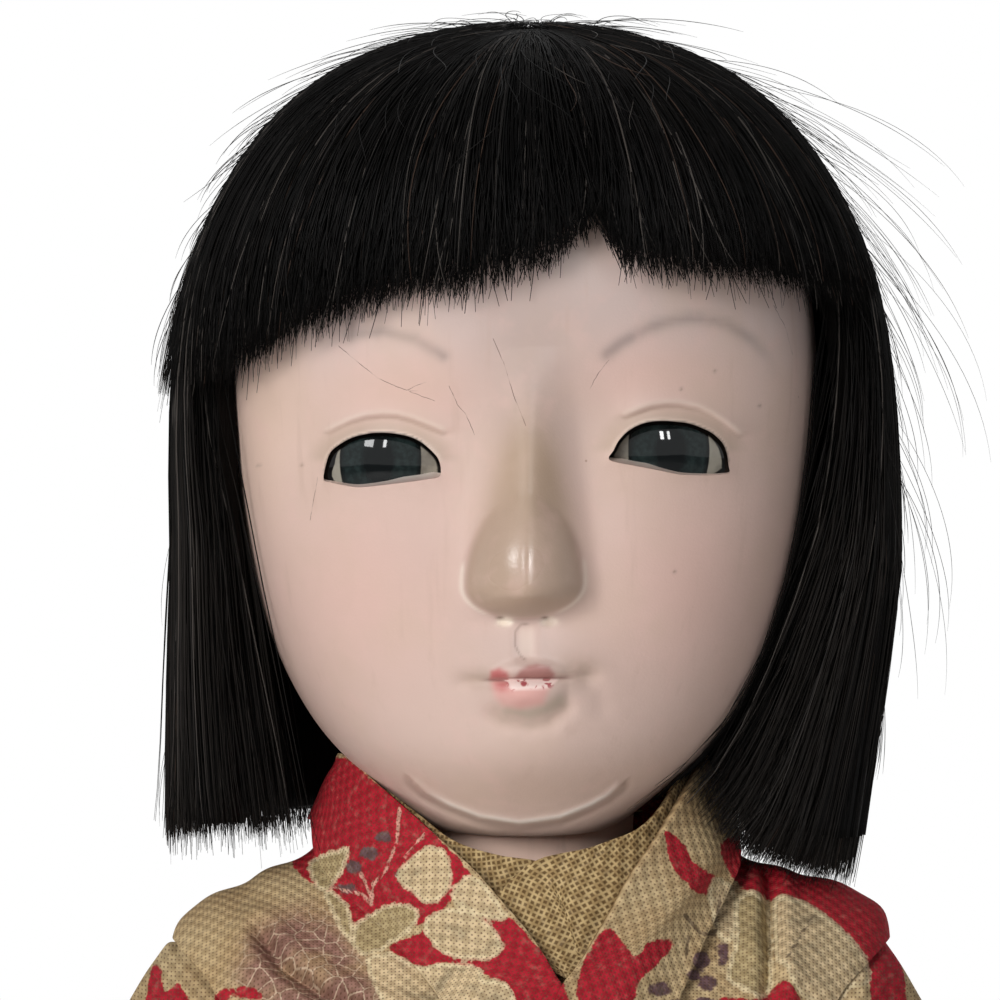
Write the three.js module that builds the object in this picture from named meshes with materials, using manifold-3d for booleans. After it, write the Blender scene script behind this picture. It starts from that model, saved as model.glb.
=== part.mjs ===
// Ichimatsu doll, standing and dressed in a kimono, about 423 mm tall.
// Millimetres, +Z up, the face towards -Y, the doll's own left towards +X, the soles on z = 0.
// The head is a hollow two-part shell of pressed wood composition with set glass eyes and a hair wig.
// It turns on a peg in the chest.
// Stuffed cloth upper arms and thighs carry composition forearms and lower legs.
import * as THREE from "three";
import { mergeVertices } from "three/addons/utils/BufferGeometryUtils.js";
import Module from "manifold-3d";

const wasm = await Module();
wasm.setup();

// Clearances
const SEAT_GAP = 0.3;
const SWING_GAP = 0.6;
const CLOTH_GAP = 0.6;

// Legs
const LOWER_LEG_HEIGHT = 78;
const THIGH_LENGTH = 68;
const LEG_SPACING = 19;
const THIGH_RADIUS = 15;
const KNEE_RADIUS = 11;
const CALF_RADIUS = 11.5;
const ANKLE_RADIUS = 8;
const FOOT_LENGTH = 46;
const FOOT_WIDTH = 19;
const FOOT_HEIGHT = 15;
const HEEL_BACK = 17;
const KNEE_SOCKET = 3;

// Trunk
const HIP_BLOCK_HEIGHT = 46;
const HIP_WIDTH = 62;
const HIP_DEPTH = 42;
const MIDRIFF_HEIGHT = 48;
const MIDRIFF_WALL = 1.6;
const CHEST_HEIGHT = 64;
const CHEST_WIDTH = 59;
const CHEST_DEPTH = 42;
const CHEST_WALL = 4;

// Voice box in the midriff
const BOARD_WIDTH = 26;
const BOARD_HEIGHT = 30;
const BOARD_THICKNESS = 2;
const BELLOWS_DEPTH = 26;
const BELLOWS_FOLDS = 4;
const BELLOWS_PLEAT = 2;
const REED_RADIUS = 2.5;
const REED_LENGTH = 9;

// Arms
const SHOULDER_DROP = 17;
const SHOULDER_OUT = 8.5;
const ARM_SPREAD = 30;
const UPPER_ARM_LENGTH = 48;
const UPPER_ARM_RADIUS = 10.5;
const ELBOW_RADIUS = 8;
const ELBOW_SOCKET = 4;
const FOREARM_LENGTH = 40;
const WRIST_RADIUS = 6;
const PALM_LENGTH = 13;
const PALM_WIDTH = 13;
const PALM_THICKNESS = 7;
const FINGER_LENGTH = 12;
const FINGER_RADIUS = 1.9;
const LIMB_END_EASE = 1.4;
const BINDING_RADIUS = 0.9;
const BINDING_GROOVE = 1.6;

// Neck and head. Heights in the head are counted up from the underside of the chin.
const NECK_LENGTH = 15;
const NECK_RADIUS = 14.5;
const NECK_SETBACK = 2;
const NECK_IN_HEAD = 11;
const PEG_RADIUS = 5;
const PEG_IN_CHEST = 22;
const PEG_IN_HEAD = 11;
const HEAD_SETBACK = -4;
const HEAD_WALL = 5;
const HEAD_SEAM_BACK = 6;
const HEAD_SQUARENESS = 2.2;

// The face: height, spacing and size of its features
const NOSE_TIP_HEIGHT = 31.5;
const NOSE_BASE_HEIGHT = 27;
const NOSE_BRIDGE_HEIGHT = 55;
const NOSE_REACH = 8.6;
const NOSE_TIP_WIDTH = 6;
const NOSE_BRIDGE_WIDTH = 3.4;
const MOUTH_HEIGHT = 19.5;
const MOUTH_SWELL = 2;
const EYE_SPACING = 18.1;
const EYE_BASELINE = 45.2;
const EYE_WIDTH = 14.4;
const EYE_OPENING = 5.6;
const EYE_LOWER_LID = 0.7;
const EYEBALL_RADIUS = 9.5;
const EYEBALL_INSET = 1.4;
const PACKING_THICKNESS = 3;

// Wig
const HEAD_WITH_HAIR = 104;
const HAIR_GAP = 1;
const FRINGE_EDGE = 66;
const FRINGE_SLOPE = 3;
const FACE_OPENING_BACK = 14;
const SIDE_HAIR_DEPTH = 33;

// Kimono, under-collar and sash
const CLOTH_THICKNESS = 1.4;
const SHOULDER_EASE = 5;
const ARMHOLE_TOP = 11.6;
const HEM_HEIGHT = 22;
const SKIRT_FOLDS = 8;
const SKIRT_FOLD_DEPTH = 0.8;
const OVERLAP_FROM = -18;
const OVERLAP_TO = -128;
const COLLAR_GAP = 0.6;
const COLLAR_WIDTH = 14;
const COLLAR_THICKNESS = 1.2;
const UNDER_COLLAR_WIDTH = 12;
const UNDER_COLLAR_THICKNESS = 0.6;
const SLEEVE_ARMHOLE = 36;
const SLEEVE_DROP = 80;
const SLEEVE_HALF_DEPTH = 13;
const SLEEVE_HEM_HALF_DEPTH = 5;
const CUFF_PAST_WRIST = 6;
const CUFF_OPENING = 52;
const OBI_HEIGHT = 40;
const OBI_THICKNESS = 2.8;
const OBI_CORD_RADIUS = 1.7;
const KNOT_WIDTH = 18;
const KNOT_HEIGHT = 26;
const KNOT_DEPTH = 11;
const LOOP_LENGTH = 34;
const LOOP_HEIGHT = 34;
const LOOP_DEPTH = 13;
const LOOP_BAND = 2.2;
const LOOP_DROOP = 14;

// Levels worked out from those sizes
const kneeZ = LOWER_LEG_HEIGHT;
const hipZ = kneeZ + THIGH_LENGTH;
const hipBlockTop = hipZ + HIP_BLOCK_HEIGHT;
const midriffTop = hipBlockTop + MIDRIFF_HEIGHT;
const chestTop = midriffTop + CHEST_HEIGHT;
const shoulderZ = chestTop - SHOULDER_DROP;
const chinZ = chestTop + NECK_LENGTH;
const obiTop = midriffTop + 6;
const obiBottom = obiTop - OBI_HEIGHT;
const waistZ = obiTop - 24;
const shoulderX = CHEST_WIDTH / 2 + SHOULDER_OUT;
const kimonoShoulderX = shoulderX + SHOULDER_EASE;

const radians = THREE.MathUtils.degToRad;
const smooth = THREE.MathUtils.smoothstep;
const vector = (x, y, z) => new THREE.Vector3(x, y, z);

// Finishes
const finish = (color, roughness) => new THREE.MeshStandardMaterial({ color, roughness, metalness: 0 });
const SHELL_WHITE = finish(0xd8b9a8, 0.42);
const BARE_COMPOSITION = finish(0xb08a62, 0.8);
const GLASS_EYE = finish(0x1c2624, 0.08);
const PLASTER = finish(0xd9d2c4, 0.9);
const BLACK_HAIR = finish(0x0b0a0a, 0.5);
const COTTON = finish(0xd9cbb2, 0.9);
const PALE_WOOD = finish(0xc9a878, 0.65);
const BELLOWS_PAPER = finish(0xc8b890, 0.85);
const THREAD = finish(0xe6dcc8, 0.8);
const KIMONO_PRINT = finish(0xa81f2c, 0.9);
const TAN_SCRIM = finish(0xb09a68, 0.95);
const OBI_CLOTH = finish(0x7d6a33, 0.8);
const OBI_CORD = finish(0xd8cbb0, 0.75);

// Solids: closed surfaces from rings of points, and joins and cuts between them

function closedGeometry(points, triangles) {
  const geometry = new THREE.BufferGeometry();
  const positions = points.flatMap((p) => [p.x, p.y, p.z]);
  geometry.setAttribute("position", new THREE.Float32BufferAttribute(positions, 3));
  geometry.setIndex(triangles);
  return geometry;
}

// The triangles between two rings that start at the given point numbers.
function ringWall(first, second, count) {
  const triangles = [];
  for (let i = 0; i < count; i++) {
    const next = (i + 1) % count;
    triangles.push(first + i, first + next, second + next);
    triangles.push(first + i, second + next, second + i);
  }
  return triangles;
}

// A solid skinned over a row of rings, closed by a fan at each end.
function skinned(rings) {
  const count = rings[0].length;
  const points = rings.flat();
  const triangles = [];
  for (let r = 0; r + 1 < rings.length; r++) triangles.push(...ringWall(r * count, (r + 1) * count, count));
  const middle = (ring) => ring.reduce((sum, p) => sum.add(p), vector(0, 0, 0)).divideScalar(count);
  const last = (rings.length - 1) * count;
  const start = points.push(middle(rings[0])) - 1;
  const end = points.push(middle(rings[rings.length - 1])) - 1;
  for (let i = 0; i < count; i++) {
    const next = (i + 1) % count;
    triangles.push(start, next, i);
    triangles.push(end, last + i, last + next);
  }
  return closedGeometry(points, triangles);
}

// A tube of cloth: the outer rings from one edge to the other, then the inner rings back again.
function tubeOfCloth(outer, inner) {
  const rings = [...outer, ...inner.slice().reverse()];
  const count = rings[0].length;
  const triangles = rings.flatMap((_, r) => ringWall(r * count, ((r + 1) % rings.length) * count, count));
  return closedGeometry(rings.flat(), triangles);
}

// A sheet of cloth: a grid of points on its outer face, the same on its inner face, and the edges between.
function sheetOfCloth(outer, inner) {
  const [rows, columns] = [outer.length, outer[0].length];
  const under = rows * columns;
  const at = (r, c) => r * columns + c;
  const triangles = [];
  const quad = (a, b, c, d) => triangles.push(a, b, c, a, c, d);
  for (let r = 0; r + 1 < rows; r++) {
    for (let c = 0; c + 1 < columns; c++) {
      quad(at(r, c), at(r, c + 1), at(r + 1, c + 1), at(r + 1, c));
      quad(under + at(r, c), under + at(r + 1, c), under + at(r + 1, c + 1), under + at(r, c + 1));
    }
  }
  const edge = (a, b) => quad(b, a, under + a, under + b);
  for (let c = 0; c + 1 < columns; c++) {
    edge(at(0, c), at(0, c + 1));
    edge(at(rows - 1, c + 1), at(rows - 1, c));
  }
  for (let r = 0; r + 1 < rows; r++) {
    edge(at(r + 1, 0), at(r, 0));
    edge(at(r, columns - 1), at(r + 1, columns - 1));
  }
  return closedGeometry([...outer.flat(), ...inner.flat()], triangles);
}

function manifold(positions, triangles) {
  const mesh = new wasm.Mesh({ numProp: 3, vertProperties: positions, triVerts: triangles });
  return new wasm.Manifold(mesh);
}

// A closed geometry as a solid whose faces point out.
function solid(geometry) {
  const loose = geometry.index ? geometry.toNonIndexed() : geometry;
  const bare = new THREE.BufferGeometry().setAttribute("position", loose.getAttribute("position"));
  const merged = mergeVertices(bare, 1e-4);
  const kept = [];
  const index = merged.index.array;
  for (let i = 0; i < index.length; i += 3) {
    const [a, b, c] = [index[i], index[i + 1], index[i + 2]];
    if (a !== b && b !== c && c !== a) kept.push(a, b, c);
  }
  const made = manifold(merged.attributes.position.array, Uint32Array.from(kept));
  if (made.volume() >= 0) return made;
  for (let i = 0; i < kept.length; i += 3) [kept[i + 1], kept[i + 2]] = [kept[i + 2], kept[i + 1]];
  return manifold(merged.attributes.position.array, Uint32Array.from(kept));
}

function geometryOf(made) {
  const { numProp, numVert, vertProperties, triVerts } = made.getMesh();
  const positions = new Float32Array(numVert * 3);
  for (let i = 0; i < numVert; i++) {
    positions.set(vertProperties.subarray(i * numProp, i * numProp + 3), i * 3);
  }
  const geometry = new THREE.BufferGeometry();
  geometry.setAttribute("position", new THREE.BufferAttribute(positions, 3));
  geometry.setIndex(new THREE.BufferAttribute(triVerts, 1));
  return geometry;
}

const moved = (geometry, x, y, z) => geometry.clone().translate(x, y, z);
const mirrored = (made) => solid(geometryOf(made).scale(-1, 1, 1));
const ball = (radius, x, y, z) => solid(moved(new THREE.SphereGeometry(radius, 14, 9), x, y, z));

function block(low, high) {
  const size = vector(...high).sub(vector(...low));
  const middle = vector(...high).add(vector(...low)).multiplyScalar(0.5);
  return solid(moved(new THREE.BoxGeometry(size.x, size.y, size.z), middle.x, middle.y, middle.z));
}

// A turned solid about the Z axis, from its profile of [radius, height] points.
function turned(profile, sides = 18) {
  const outline = profile.map(([radius, height]) => new THREE.Vector2(radius, height));
  return new THREE.LatheGeometry(outline, sides).rotateX(Math.PI / 2);
}

// The largest body of a solid that a cut may have left in several.
function mainBody(made) {
  const bodies = made.decompose();
  return bodies.reduce((largest, body) => (body.volume() > largest.volume() ? body : largest));
}

const doll = new THREE.Group();
doll.name = "ichimatsu_doll";

function addNode(group, name, shape, material) {
  const geometry = shape.isBufferGeometry ? geometryOf(solid(shape)) : geometryOf(shape);
  geometry.computeVertexNormals();
  const mesh = new THREE.Mesh(geometry, material);
  mesh.name = name;
  group.add(mesh);
}

// A smooth run of values through a list of stations, evenly paced from one station to the next.
function through(stations, at) {
  const span = THREE.MathUtils.clamp(at, 0, stations.length - 1 - 1e-9);
  const i = Math.floor(span);
  const t = span - i;
  const before = stations[Math.max(i - 1, 0)];
  const after = stations[Math.min(i + 2, stations.length - 1)];
  return stations[i].map((p1, k) => {
    const p2 = stations[i + 1][k];
    const m1 = (p2 - before[k]) / 2;
    const m2 = (after[k] - p1) / 2;
    const [t2, t3] = [t * t, t * t * t];
    return (2 * t3 - 3 * t2 + 1) * p1 + (t3 - 2 * t2 + t) * m1 + (-2 * t3 + 3 * t2) * p2 + (t3 - t2) * m2;
  });
}

// One ring of an egg-like body: half-width, reach to the front and reach to the back at a height.
function eggRing(halfWidth, front, back, height, angles, squareness = 2) {
  const power = (value) => Math.sign(value) * Math.abs(value) ** (2 / squareness);
  return angles.map((angle) => {
    const sine = power(Math.sin(angle));
    return vector(halfWidth * power(Math.cos(angle)), (sine < 0 ? front : back) * sine, height);
  });
}

const evenAngles = (count) => Array.from({ length: count }, (_, i) => (i * 2 * Math.PI) / count);

// Head: stations of [height, half-width, reach to the front, reach to the back], chin to crown
const HEAD_STATIONS = [
  [0, 0, 0, 0],
  [1, 9.5, 15, 6],
  [4.4, 17.5, 25, 12],
  [10.6, 24.5, 30.5, 19],
  [17, 29, 33, 25],
  [25, 32.6, 34.5, 31],
  [36, 35.4, 35.2, 38],
  [48, 36.7, 35.4, 42.5],
  [61, 37.2, 37.2, 43.5],
  [74, 35.6, 36.8, 41.5],
  [85, 29.5, 31, 34],
  [92, 18.5, 19.5, 21.5],
  [96, 0, 0, 0],
];
const FACE_COLUMNS = 22;
const NAPE_COLUMNS = 8;
// How many rows of facets lie between one head station and the next
const HEAD_ROWS = [1, 1, 1, 2, 3, 4, 2, 2, 1, 1, 2, 2];

// How far the features stand out from the plain egg of the head, at a point of the face.
function featureReach(x, height) {
  const noseLength = NOSE_BRIDGE_HEIGHT - NOSE_TIP_HEIGHT;
  const rise = THREE.MathUtils.clamp((height - NOSE_TIP_HEIGHT) / noseLength, 0, 1);
  const up = (1 - rise) ** 1.6;
  const under = smooth(height, NOSE_BASE_HEIGHT - 2, NOSE_TIP_HEIGHT);
  const width = THREE.MathUtils.lerp(NOSE_BRIDGE_WIDTH, NOSE_TIP_WIDTH, up);
  const nose = NOSE_REACH * Math.min(up, under) * Math.exp(-((x / width) ** 2));
  const across = x / (NOSE_BASE_HEIGHT - MOUTH_HEIGHT);
  const along = (height - MOUTH_HEIGHT) / (NOSE_BASE_HEIGHT - MOUTH_HEIGHT);
  return nose + MOUTH_SWELL * Math.exp(-(across ** 2) - along ** 2);
}

// Angles round the head, closer together across the face.
function headAngles() {
  const face = Array.from({ length: FACE_COLUMNS }, (_, i) => {
    const share = (2 * i) / FACE_COLUMNS - 1;
    return -Math.PI / 2 + (Math.PI / 2) * Math.sign(share) * Math.abs(share) ** 1.25;
  });
  const nape = Array.from({ length: NAPE_COLUMNS }, (_, i) => (i * Math.PI) / NAPE_COLUMNS);
  return [...face, ...nape];
}

// The head as a plain egg, grown by an offset, with rings of the given angles at places along the stations.
function headEgg(offset, angles, places) {
  const crown = HEAD_STATIONS[HEAD_STATIONS.length - 1][0];
  return places.map((place) => {
    const [height, halfWidth, front, back] = through(HEAD_STATIONS, place);
    const z = height + offset * ((2 * height) / crown - 1);
    return eggRing(halfWidth + offset, front + offset, back + offset, z, angles, HEAD_SQUARENESS);
  });
}

const HOLLOW_PLACES = HEAD_STATIONS.map((_, i) => i).slice(2, -1);

function headSolid() {
  const places = HEAD_ROWS.flatMap((rows, i) => Array.from({ length: rows }, (_, r) => i + r / rows));
  const rings = headEgg(0, headAngles(), [...places.slice(1), HEAD_ROWS.length - 0.12]);
  for (const point of rings.flat()) if (point.y < 0) point.y -= featureReach(point.x, point.z);
  return solid(skinned(rings));
}

// The outline of an eye opening, from corner to corner along the upper lid and back along the lower one.
function eyeOutline() {
  const outline = new THREE.Shape();
  const half = EYE_WIDTH / 2;
  outline.moveTo(-half, 0);
  outline.bezierCurveTo(-half * 0.75, EYE_OPENING * 1.25, half * 0.6, EYE_OPENING * 1.35, half, 0);
  outline.bezierCurveTo(half * 0.5, -EYE_LOWER_LID * 1.4, -half * 0.5, -EYE_LOWER_LID * 1.4, -half, 0);
  return outline;
}

const eyeCentreZ = EYE_BASELINE + EYE_OPENING / 2;
// The face's depth at the middle of an eye, from the head's ring at that height.
const faceAtEye = (() => {
  const at = HEAD_STATIONS.findIndex(([height]) => height > eyeCentreZ) - 1;
  const [low, high] = [HEAD_STATIONS[at], HEAD_STATIONS[at + 1]];
  const share = (eyeCentreZ - low[0]) / (high[0] - low[0]);
  const [, halfWidth, front] = through(HEAD_STATIONS, at + share);
  return front * (1 - (EYE_SPACING / halfWidth) ** HEAD_SQUARENESS) ** (1 / HEAD_SQUARENESS);
})();
const eyeballY = -faceAtEye + EYEBALL_INSET + EYEBALL_RADIUS;

const head = new THREE.Group();
head.position.set(0, HEAD_SETBACK, chinZ);
doll.add(head);
const neckY = NECK_SETBACK - HEAD_SETBACK;

function buildHead() {
  const wide = HEAD_STATIONS[HEAD_STATIONS.length - 1][0] * 2;
  const hollow = solid(skinned(headEgg(-HEAD_WALL, evenAngles(14), HOLLOW_PLACES)));
  const neckHole = solid(
    moved(new THREE.CylinderGeometry(NECK_RADIUS + SEAT_GAP, NECK_RADIUS + SEAT_GAP, NECK_IN_HEAD * 2 + 2, 24)
      .rotateX(Math.PI / 2), 0, neckY, 0),
  );
  let shell = headSolid().subtract(hollow).subtract(neckHole);
  const throughShell = { depth: EYEBALL_RADIUS * 2, bevelEnabled: false, curveSegments: 7 };
  const opening = new THREE.ExtrudeGeometry(eyeOutline(), throughShell);
  opening.rotateX(Math.PI / 2);
  for (const side of [-1, 1]) {
    const pocket = ball(EYEBALL_RADIUS + SEAT_GAP, side * EYE_SPACING, eyeballY, eyeCentreZ);
    const cut = solid(moved(opening, 0, eyeballY, 0));
    const sided = geometryOf(side < 0 ? mirrored(cut) : cut);
    const placed = solid(sided.translate(side * EYE_SPACING, 0, EYE_BASELINE));
    shell = shell.subtract(pocket).subtract(placed);
  }
  const front = shell.intersect(block([-wide, -wide, -wide], [wide, HEAD_SEAM_BACK, wide]));
  const back = shell.intersect(block([-wide, HEAD_SEAM_BACK + SEAT_GAP, -wide], [wide, wide, wide]));
  addNode(head, "face_shell", mainBody(front), SHELL_WHITE);
  addNode(head, "back_head_shell", mainBody(back), SHELL_WHITE);

  // Each glass eye is held from inside by a pad of plaster that fills the space up to the shell.
  const cavity = solid(skinned(headEgg(-HEAD_WALL - SEAT_GAP, evenAngles(14), HOLLOW_PLACES)));
  for (const [side, label] of [[1, "left"], [-1, "right"]]) {
    const x = side * EYE_SPACING;
    addNode(head, `${label}_eye`, ball(EYEBALL_RADIUS, x, eyeballY, eyeCentreZ), GLASS_EYE);
    const pad = ball(EYEBALL_RADIUS + SEAT_GAP + PACKING_THICKNESS, x, eyeballY, eyeCentreZ)
      .intersect(cavity)
      .subtract(ball(EYEBALL_RADIUS + SEAT_GAP, x, eyeballY, eyeCentreZ))
      .intersect(block([-wide, eyeballY - EYEBALL_RADIUS / 2, -wide], [wide, wide, wide]));
    const half = block([SEAT_GAP, -wide, 0], [wide, wide, wide]);
    const ownHalf = side > 0 ? half : mirrored(half);
    addNode(head, `${label}_eye_packing`, mainBody(pad.intersect(ownHalf)), PLASTER);
  }

  // The neck is bored for the peg that carries the head in the chest.
  const bottom = -NECK_LENGTH + SEAT_GAP;
  const bore = PEG_RADIUS + SEAT_GAP;
  const neck = turned([
    [bore, NECK_IN_HEAD],
    [NECK_RADIUS - 1, NECK_IN_HEAD],
    [NECK_RADIUS, NECK_IN_HEAD - 2],
    [NECK_RADIUS, -4],
    [NECK_RADIUS + 1.5, bottom],
    [bore, bottom],
    [bore, NECK_IN_HEAD],
  ], 24);
  addNode(head, "neck", moved(neck, 0, neckY, 0), SHELL_WHITE);
  const peg = turned([
    [0, -NECK_LENGTH - PEG_IN_CHEST],
    [PEG_RADIUS - 1, -NECK_LENGTH - PEG_IN_CHEST],
    [PEG_RADIUS, -NECK_LENGTH - PEG_IN_CHEST + 1.5],
    [PEG_RADIUS, PEG_IN_HEAD],
    [0, PEG_IN_HEAD],
  ], 16);
  addNode(head, "neck_peg", moved(peg, 0, neckY, 0), PALE_WOOD);
}

// Hair: stations of [height, half-width, reach to the front, reach to the back] of the cut bob
const HAIR_STATIONS = [
  [-2, 46.3, 32, 42],
  [8, 47, 33, 44.5],
  [24, 48, 35, 48],
  [42, 48.4, 38.5, 50.5],
  [58, 47.6, 42, 51],
  [71, 45.2, 43, 49.5],
  [82, 40.4, 41, 45],
  [91.6, 33.3, 34.5, 37],
  [98.4, 24, 25, 26.5],
  [HEAD_WITH_HAIR - 1.5, 12.5, 13, 14],
  [HEAD_WITH_HAIR, 3, 3.5, 3.5],
];
// Inside, the hair hangs clear of the neck and lies on the head from the cheeks up.
const HAIR_HANG = [
  [-3, 38.2, 34, 33],
  [10, 38.2, 34, 36],
  [24, 38.2, 35.6, 40],
  [36, 38.2, 36.4, 42.5],
];
const HAIR_LIES_FROM = 7;

function buildWig() {
  const wide = HAIR_STATIONS[HAIR_STATIONS.length - 1][0] * 2;
  const dome = (stations, rowsPerStation) => {
    const rows = (stations.length - 1) * rowsPerStation;
    const rings = Array.from({ length: rows + 1 }, (_, r) => {
      const [height, halfWidth, front, back] = through(stations, r / rowsPerStation);
      return eggRing(halfWidth, front, back, height, evenAngles(24), HEAD_SQUARENESS);
    });
    return solid(skinned(rings));
  };
  const onHead = HEAD_STATIONS.slice(HAIR_LIES_FROM).map(([height, ...reaches]) => [
    height + HAIR_GAP * (height / HEAD_STATIONS[HEAD_STATIONS.length - 1][0]) ** 4,
    ...reaches.map((reach) => reach + HAIR_GAP),
  ]);
  const hair = dome(HAIR_STATIONS, 1).subtract(dome([...HAIR_HANG, ...onHead], 2));
  const faceY = -FACE_OPENING_BACK;
  const backY = faceY + SIDE_HAIR_DEPTH;
  const floor = HAIR_STATIONS[0][0] - 1;
  // The fringe is cut to a line that drops a little towards the doll's right temple.
  const fringeCut = solid(new THREE.BoxGeometry(wide * 2, wide * 2, wide * 2));
  const slope = Math.atan2(FRINGE_SLOPE, HEAD_STATIONS[8][1]);
  const tilted = geometryOf(fringeCut).translate(0, 0, -wide).rotateY(-slope);
  const belowFringe = solid(tilted.translate(0, 0, FRINGE_EDGE));
  const fringe = hair
    .intersect(block([-wide, -wide, floor], [wide, faceY - SEAT_GAP, wide]))
    .subtract(belowFringe);
  addNode(head, "fringe", mainBody(fringe), BLACK_HAIR);
  const parting = SEAT_GAP / 2;
  const left = hair.intersect(block([parting, faceY, floor], [wide, backY - SEAT_GAP, wide]));
  const right = hair.intersect(block([-wide, faceY, floor], [-parting, backY - SEAT_GAP, wide]));
  addNode(head, "left_side_hair", mainBody(left), BLACK_HAIR);
  addNode(head, "right_side_hair", mainBody(right), BLACK_HAIR);
  const back = hair.intersect(block([-wide, backY, floor], [wide, wide, wide]));
  addNode(head, "back_hair", mainBody(back), BLACK_HAIR);
}

// Trunk: a hollow chest open below, a cloth midriff round the voice box, and a solid hip block
const trunk = new THREE.Group();
doll.add(trunk);

function buildTrunk() {
  const chestRings = (inset) => [
    [chestTop - inset, NECK_RADIUS + 3 - inset, NECK_RADIUS + 1 - inset],
    [chestTop - 6 - inset, CHEST_WIDTH / 2 - 5 - inset, CHEST_DEPTH / 2 - 3 - inset],
    [shoulderZ + 3 - inset, CHEST_WIDTH / 2 - inset, CHEST_DEPTH / 2 - inset],
    [shoulderZ - 10, CHEST_WIDTH / 2 - 1 - inset, CHEST_DEPTH / 2 - inset],
    [(shoulderZ + midriffTop) / 2, CHEST_WIDTH / 2 - 1 - inset, CHEST_DEPTH / 2 - inset],
    [midriffTop + SEAT_GAP - inset, CHEST_WIDTH / 2 - 1.5 - inset, CHEST_DEPTH / 2 - 1 - inset],
  ].map(([z, halfWidth, halfDepth]) => eggRing(halfWidth, halfDepth, halfDepth, z, evenAngles(20), 2.3));
  let chest = solid(skinned(chestRings(0))).subtract(solid(skinned(chestRings(CHEST_WALL))));
  const socket = new THREE.CylinderGeometry(PEG_RADIUS + SEAT_GAP, PEG_RADIUS + SEAT_GAP, CHEST_WALL * 4, 16);
  chest = chest.subtract(solid(moved(socket.rotateX(Math.PI / 2), 0, NECK_SETBACK, chestTop)));
  for (const side of [-1, 1]) {
    chest = chest.subtract(ball(UPPER_ARM_RADIUS + SWING_GAP, side * shoulderX, 0, shoulderZ));
  }
  addNode(trunk, "chest_shell", mainBody(chest), SHELL_WHITE);

  const midriffRings = (inset) => [0, 0.25, 0.5, 0.75, 1].map((share) => {
    const z = hipBlockTop + SEAT_GAP + share * (MIDRIFF_HEIGHT - SEAT_GAP);
    const swell = Math.sin(Math.PI * share) * 1.5 - 1.5 - inset;
    const halfWidth = THREE.MathUtils.lerp(HIP_WIDTH, CHEST_WIDTH, share) / 2;
    const halfDepth = THREE.MathUtils.lerp(HIP_DEPTH, CHEST_DEPTH, share) / 2;
    return eggRing(halfWidth + swell, halfDepth + swell, halfDepth + swell, z, evenAngles(20), 2.3);
  });
  addNode(trunk, "midriff_cloth", tubeOfCloth(midriffRings(0), midriffRings(MIDRIFF_WALL)), COTTON);

  const blockRings = [
    [hipZ + 4, HIP_WIDTH / 2 - 6, HIP_DEPTH / 2 - 6],
    [hipZ + 9, HIP_WIDTH / 2 - 1, HIP_DEPTH / 2 - 1],
    [hipZ + 20, HIP_WIDTH / 2, HIP_DEPTH / 2],
    [hipBlockTop - 5, HIP_WIDTH / 2 - 0.5, HIP_DEPTH / 2 - 0.5],
    [hipBlockTop, HIP_WIDTH / 2 - 1.5, HIP_DEPTH / 2 - 1.5],
  ].map(([z, halfWidth, halfDepth]) => eggRing(halfWidth, halfDepth, halfDepth, z, evenAngles(20), 2.3));
  let hips = solid(skinned(blockRings));
  // Each cup runs out to the front, where the thigh comes up when the doll sits.
  const cup = THIGH_RADIUS + SWING_GAP;
  for (const side of [-1, 1]) {
    const channel = new THREE.CylinderGeometry(cup, cup, HIP_DEPTH, 20).translate(0, -HIP_DEPTH / 2, 0);
    hips = hips.subtract(ball(cup, side * LEG_SPACING, 0, hipZ));
    hips = hips.subtract(solid(moved(channel, side * LEG_SPACING, 0, hipZ)));
  }
  addNode(trunk, "hip_block", mainBody(hips), BARE_COMPOSITION);

  // The voice box: two boards, pleated paper bellows between them and a reed pipe on the back board.
  const boardZ = hipBlockTop + SEAT_GAP;
  const boardTop = boardZ + BOARD_HEIGHT;
  const backFace = BELLOWS_DEPTH / 2 + SEAT_GAP;
  const half = BOARD_WIDTH / 2;
  const backBoard = block([-half, backFace, boardZ], [half, backFace + BOARD_THICKNESS, boardTop]);
  addNode(trunk, "crier_back_board", backBoard, PALE_WOOD);
  const frontBoard = block([-half, -backFace - BOARD_THICKNESS, boardZ], [half, -backFace, boardTop]);
  addNode(trunk, "crier_front_board", frontBoard, PALE_WOOD);
  const pleats = Array.from({ length: BELLOWS_FOLDS * 2 + 1 }, (_, i) => {
    const y = -BELLOWS_DEPTH / 2 + (BELLOWS_DEPTH * i) / (BELLOWS_FOLDS * 2);
    const inset = 1 + (i % 2 ? 0 : BELLOWS_PLEAT);
    const [x, low, high] = [half - inset, boardZ + inset, boardTop - inset];
    return [vector(-x, y, low), vector(x, y, low), vector(x, y, high), vector(-x, y, high)];
  });
  addNode(trunk, "crier_bellows", skinned(pleats), BELLOWS_PAPER);
  const reed = new THREE.CylinderGeometry(REED_RADIUS, REED_RADIUS, REED_LENGTH, 12).rotateX(Math.PI / 2);
  const reedZ = boardTop + SEAT_GAP + REED_LENGTH / 2;
  addNode(trunk, "crier_reed", moved(reed, 0, backFace + BOARD_THICKNESS / 2, reedZ), PALE_WOOD);
}

// Limbs: each group sits at its upper pivot, with the limb along its own -Z

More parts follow.
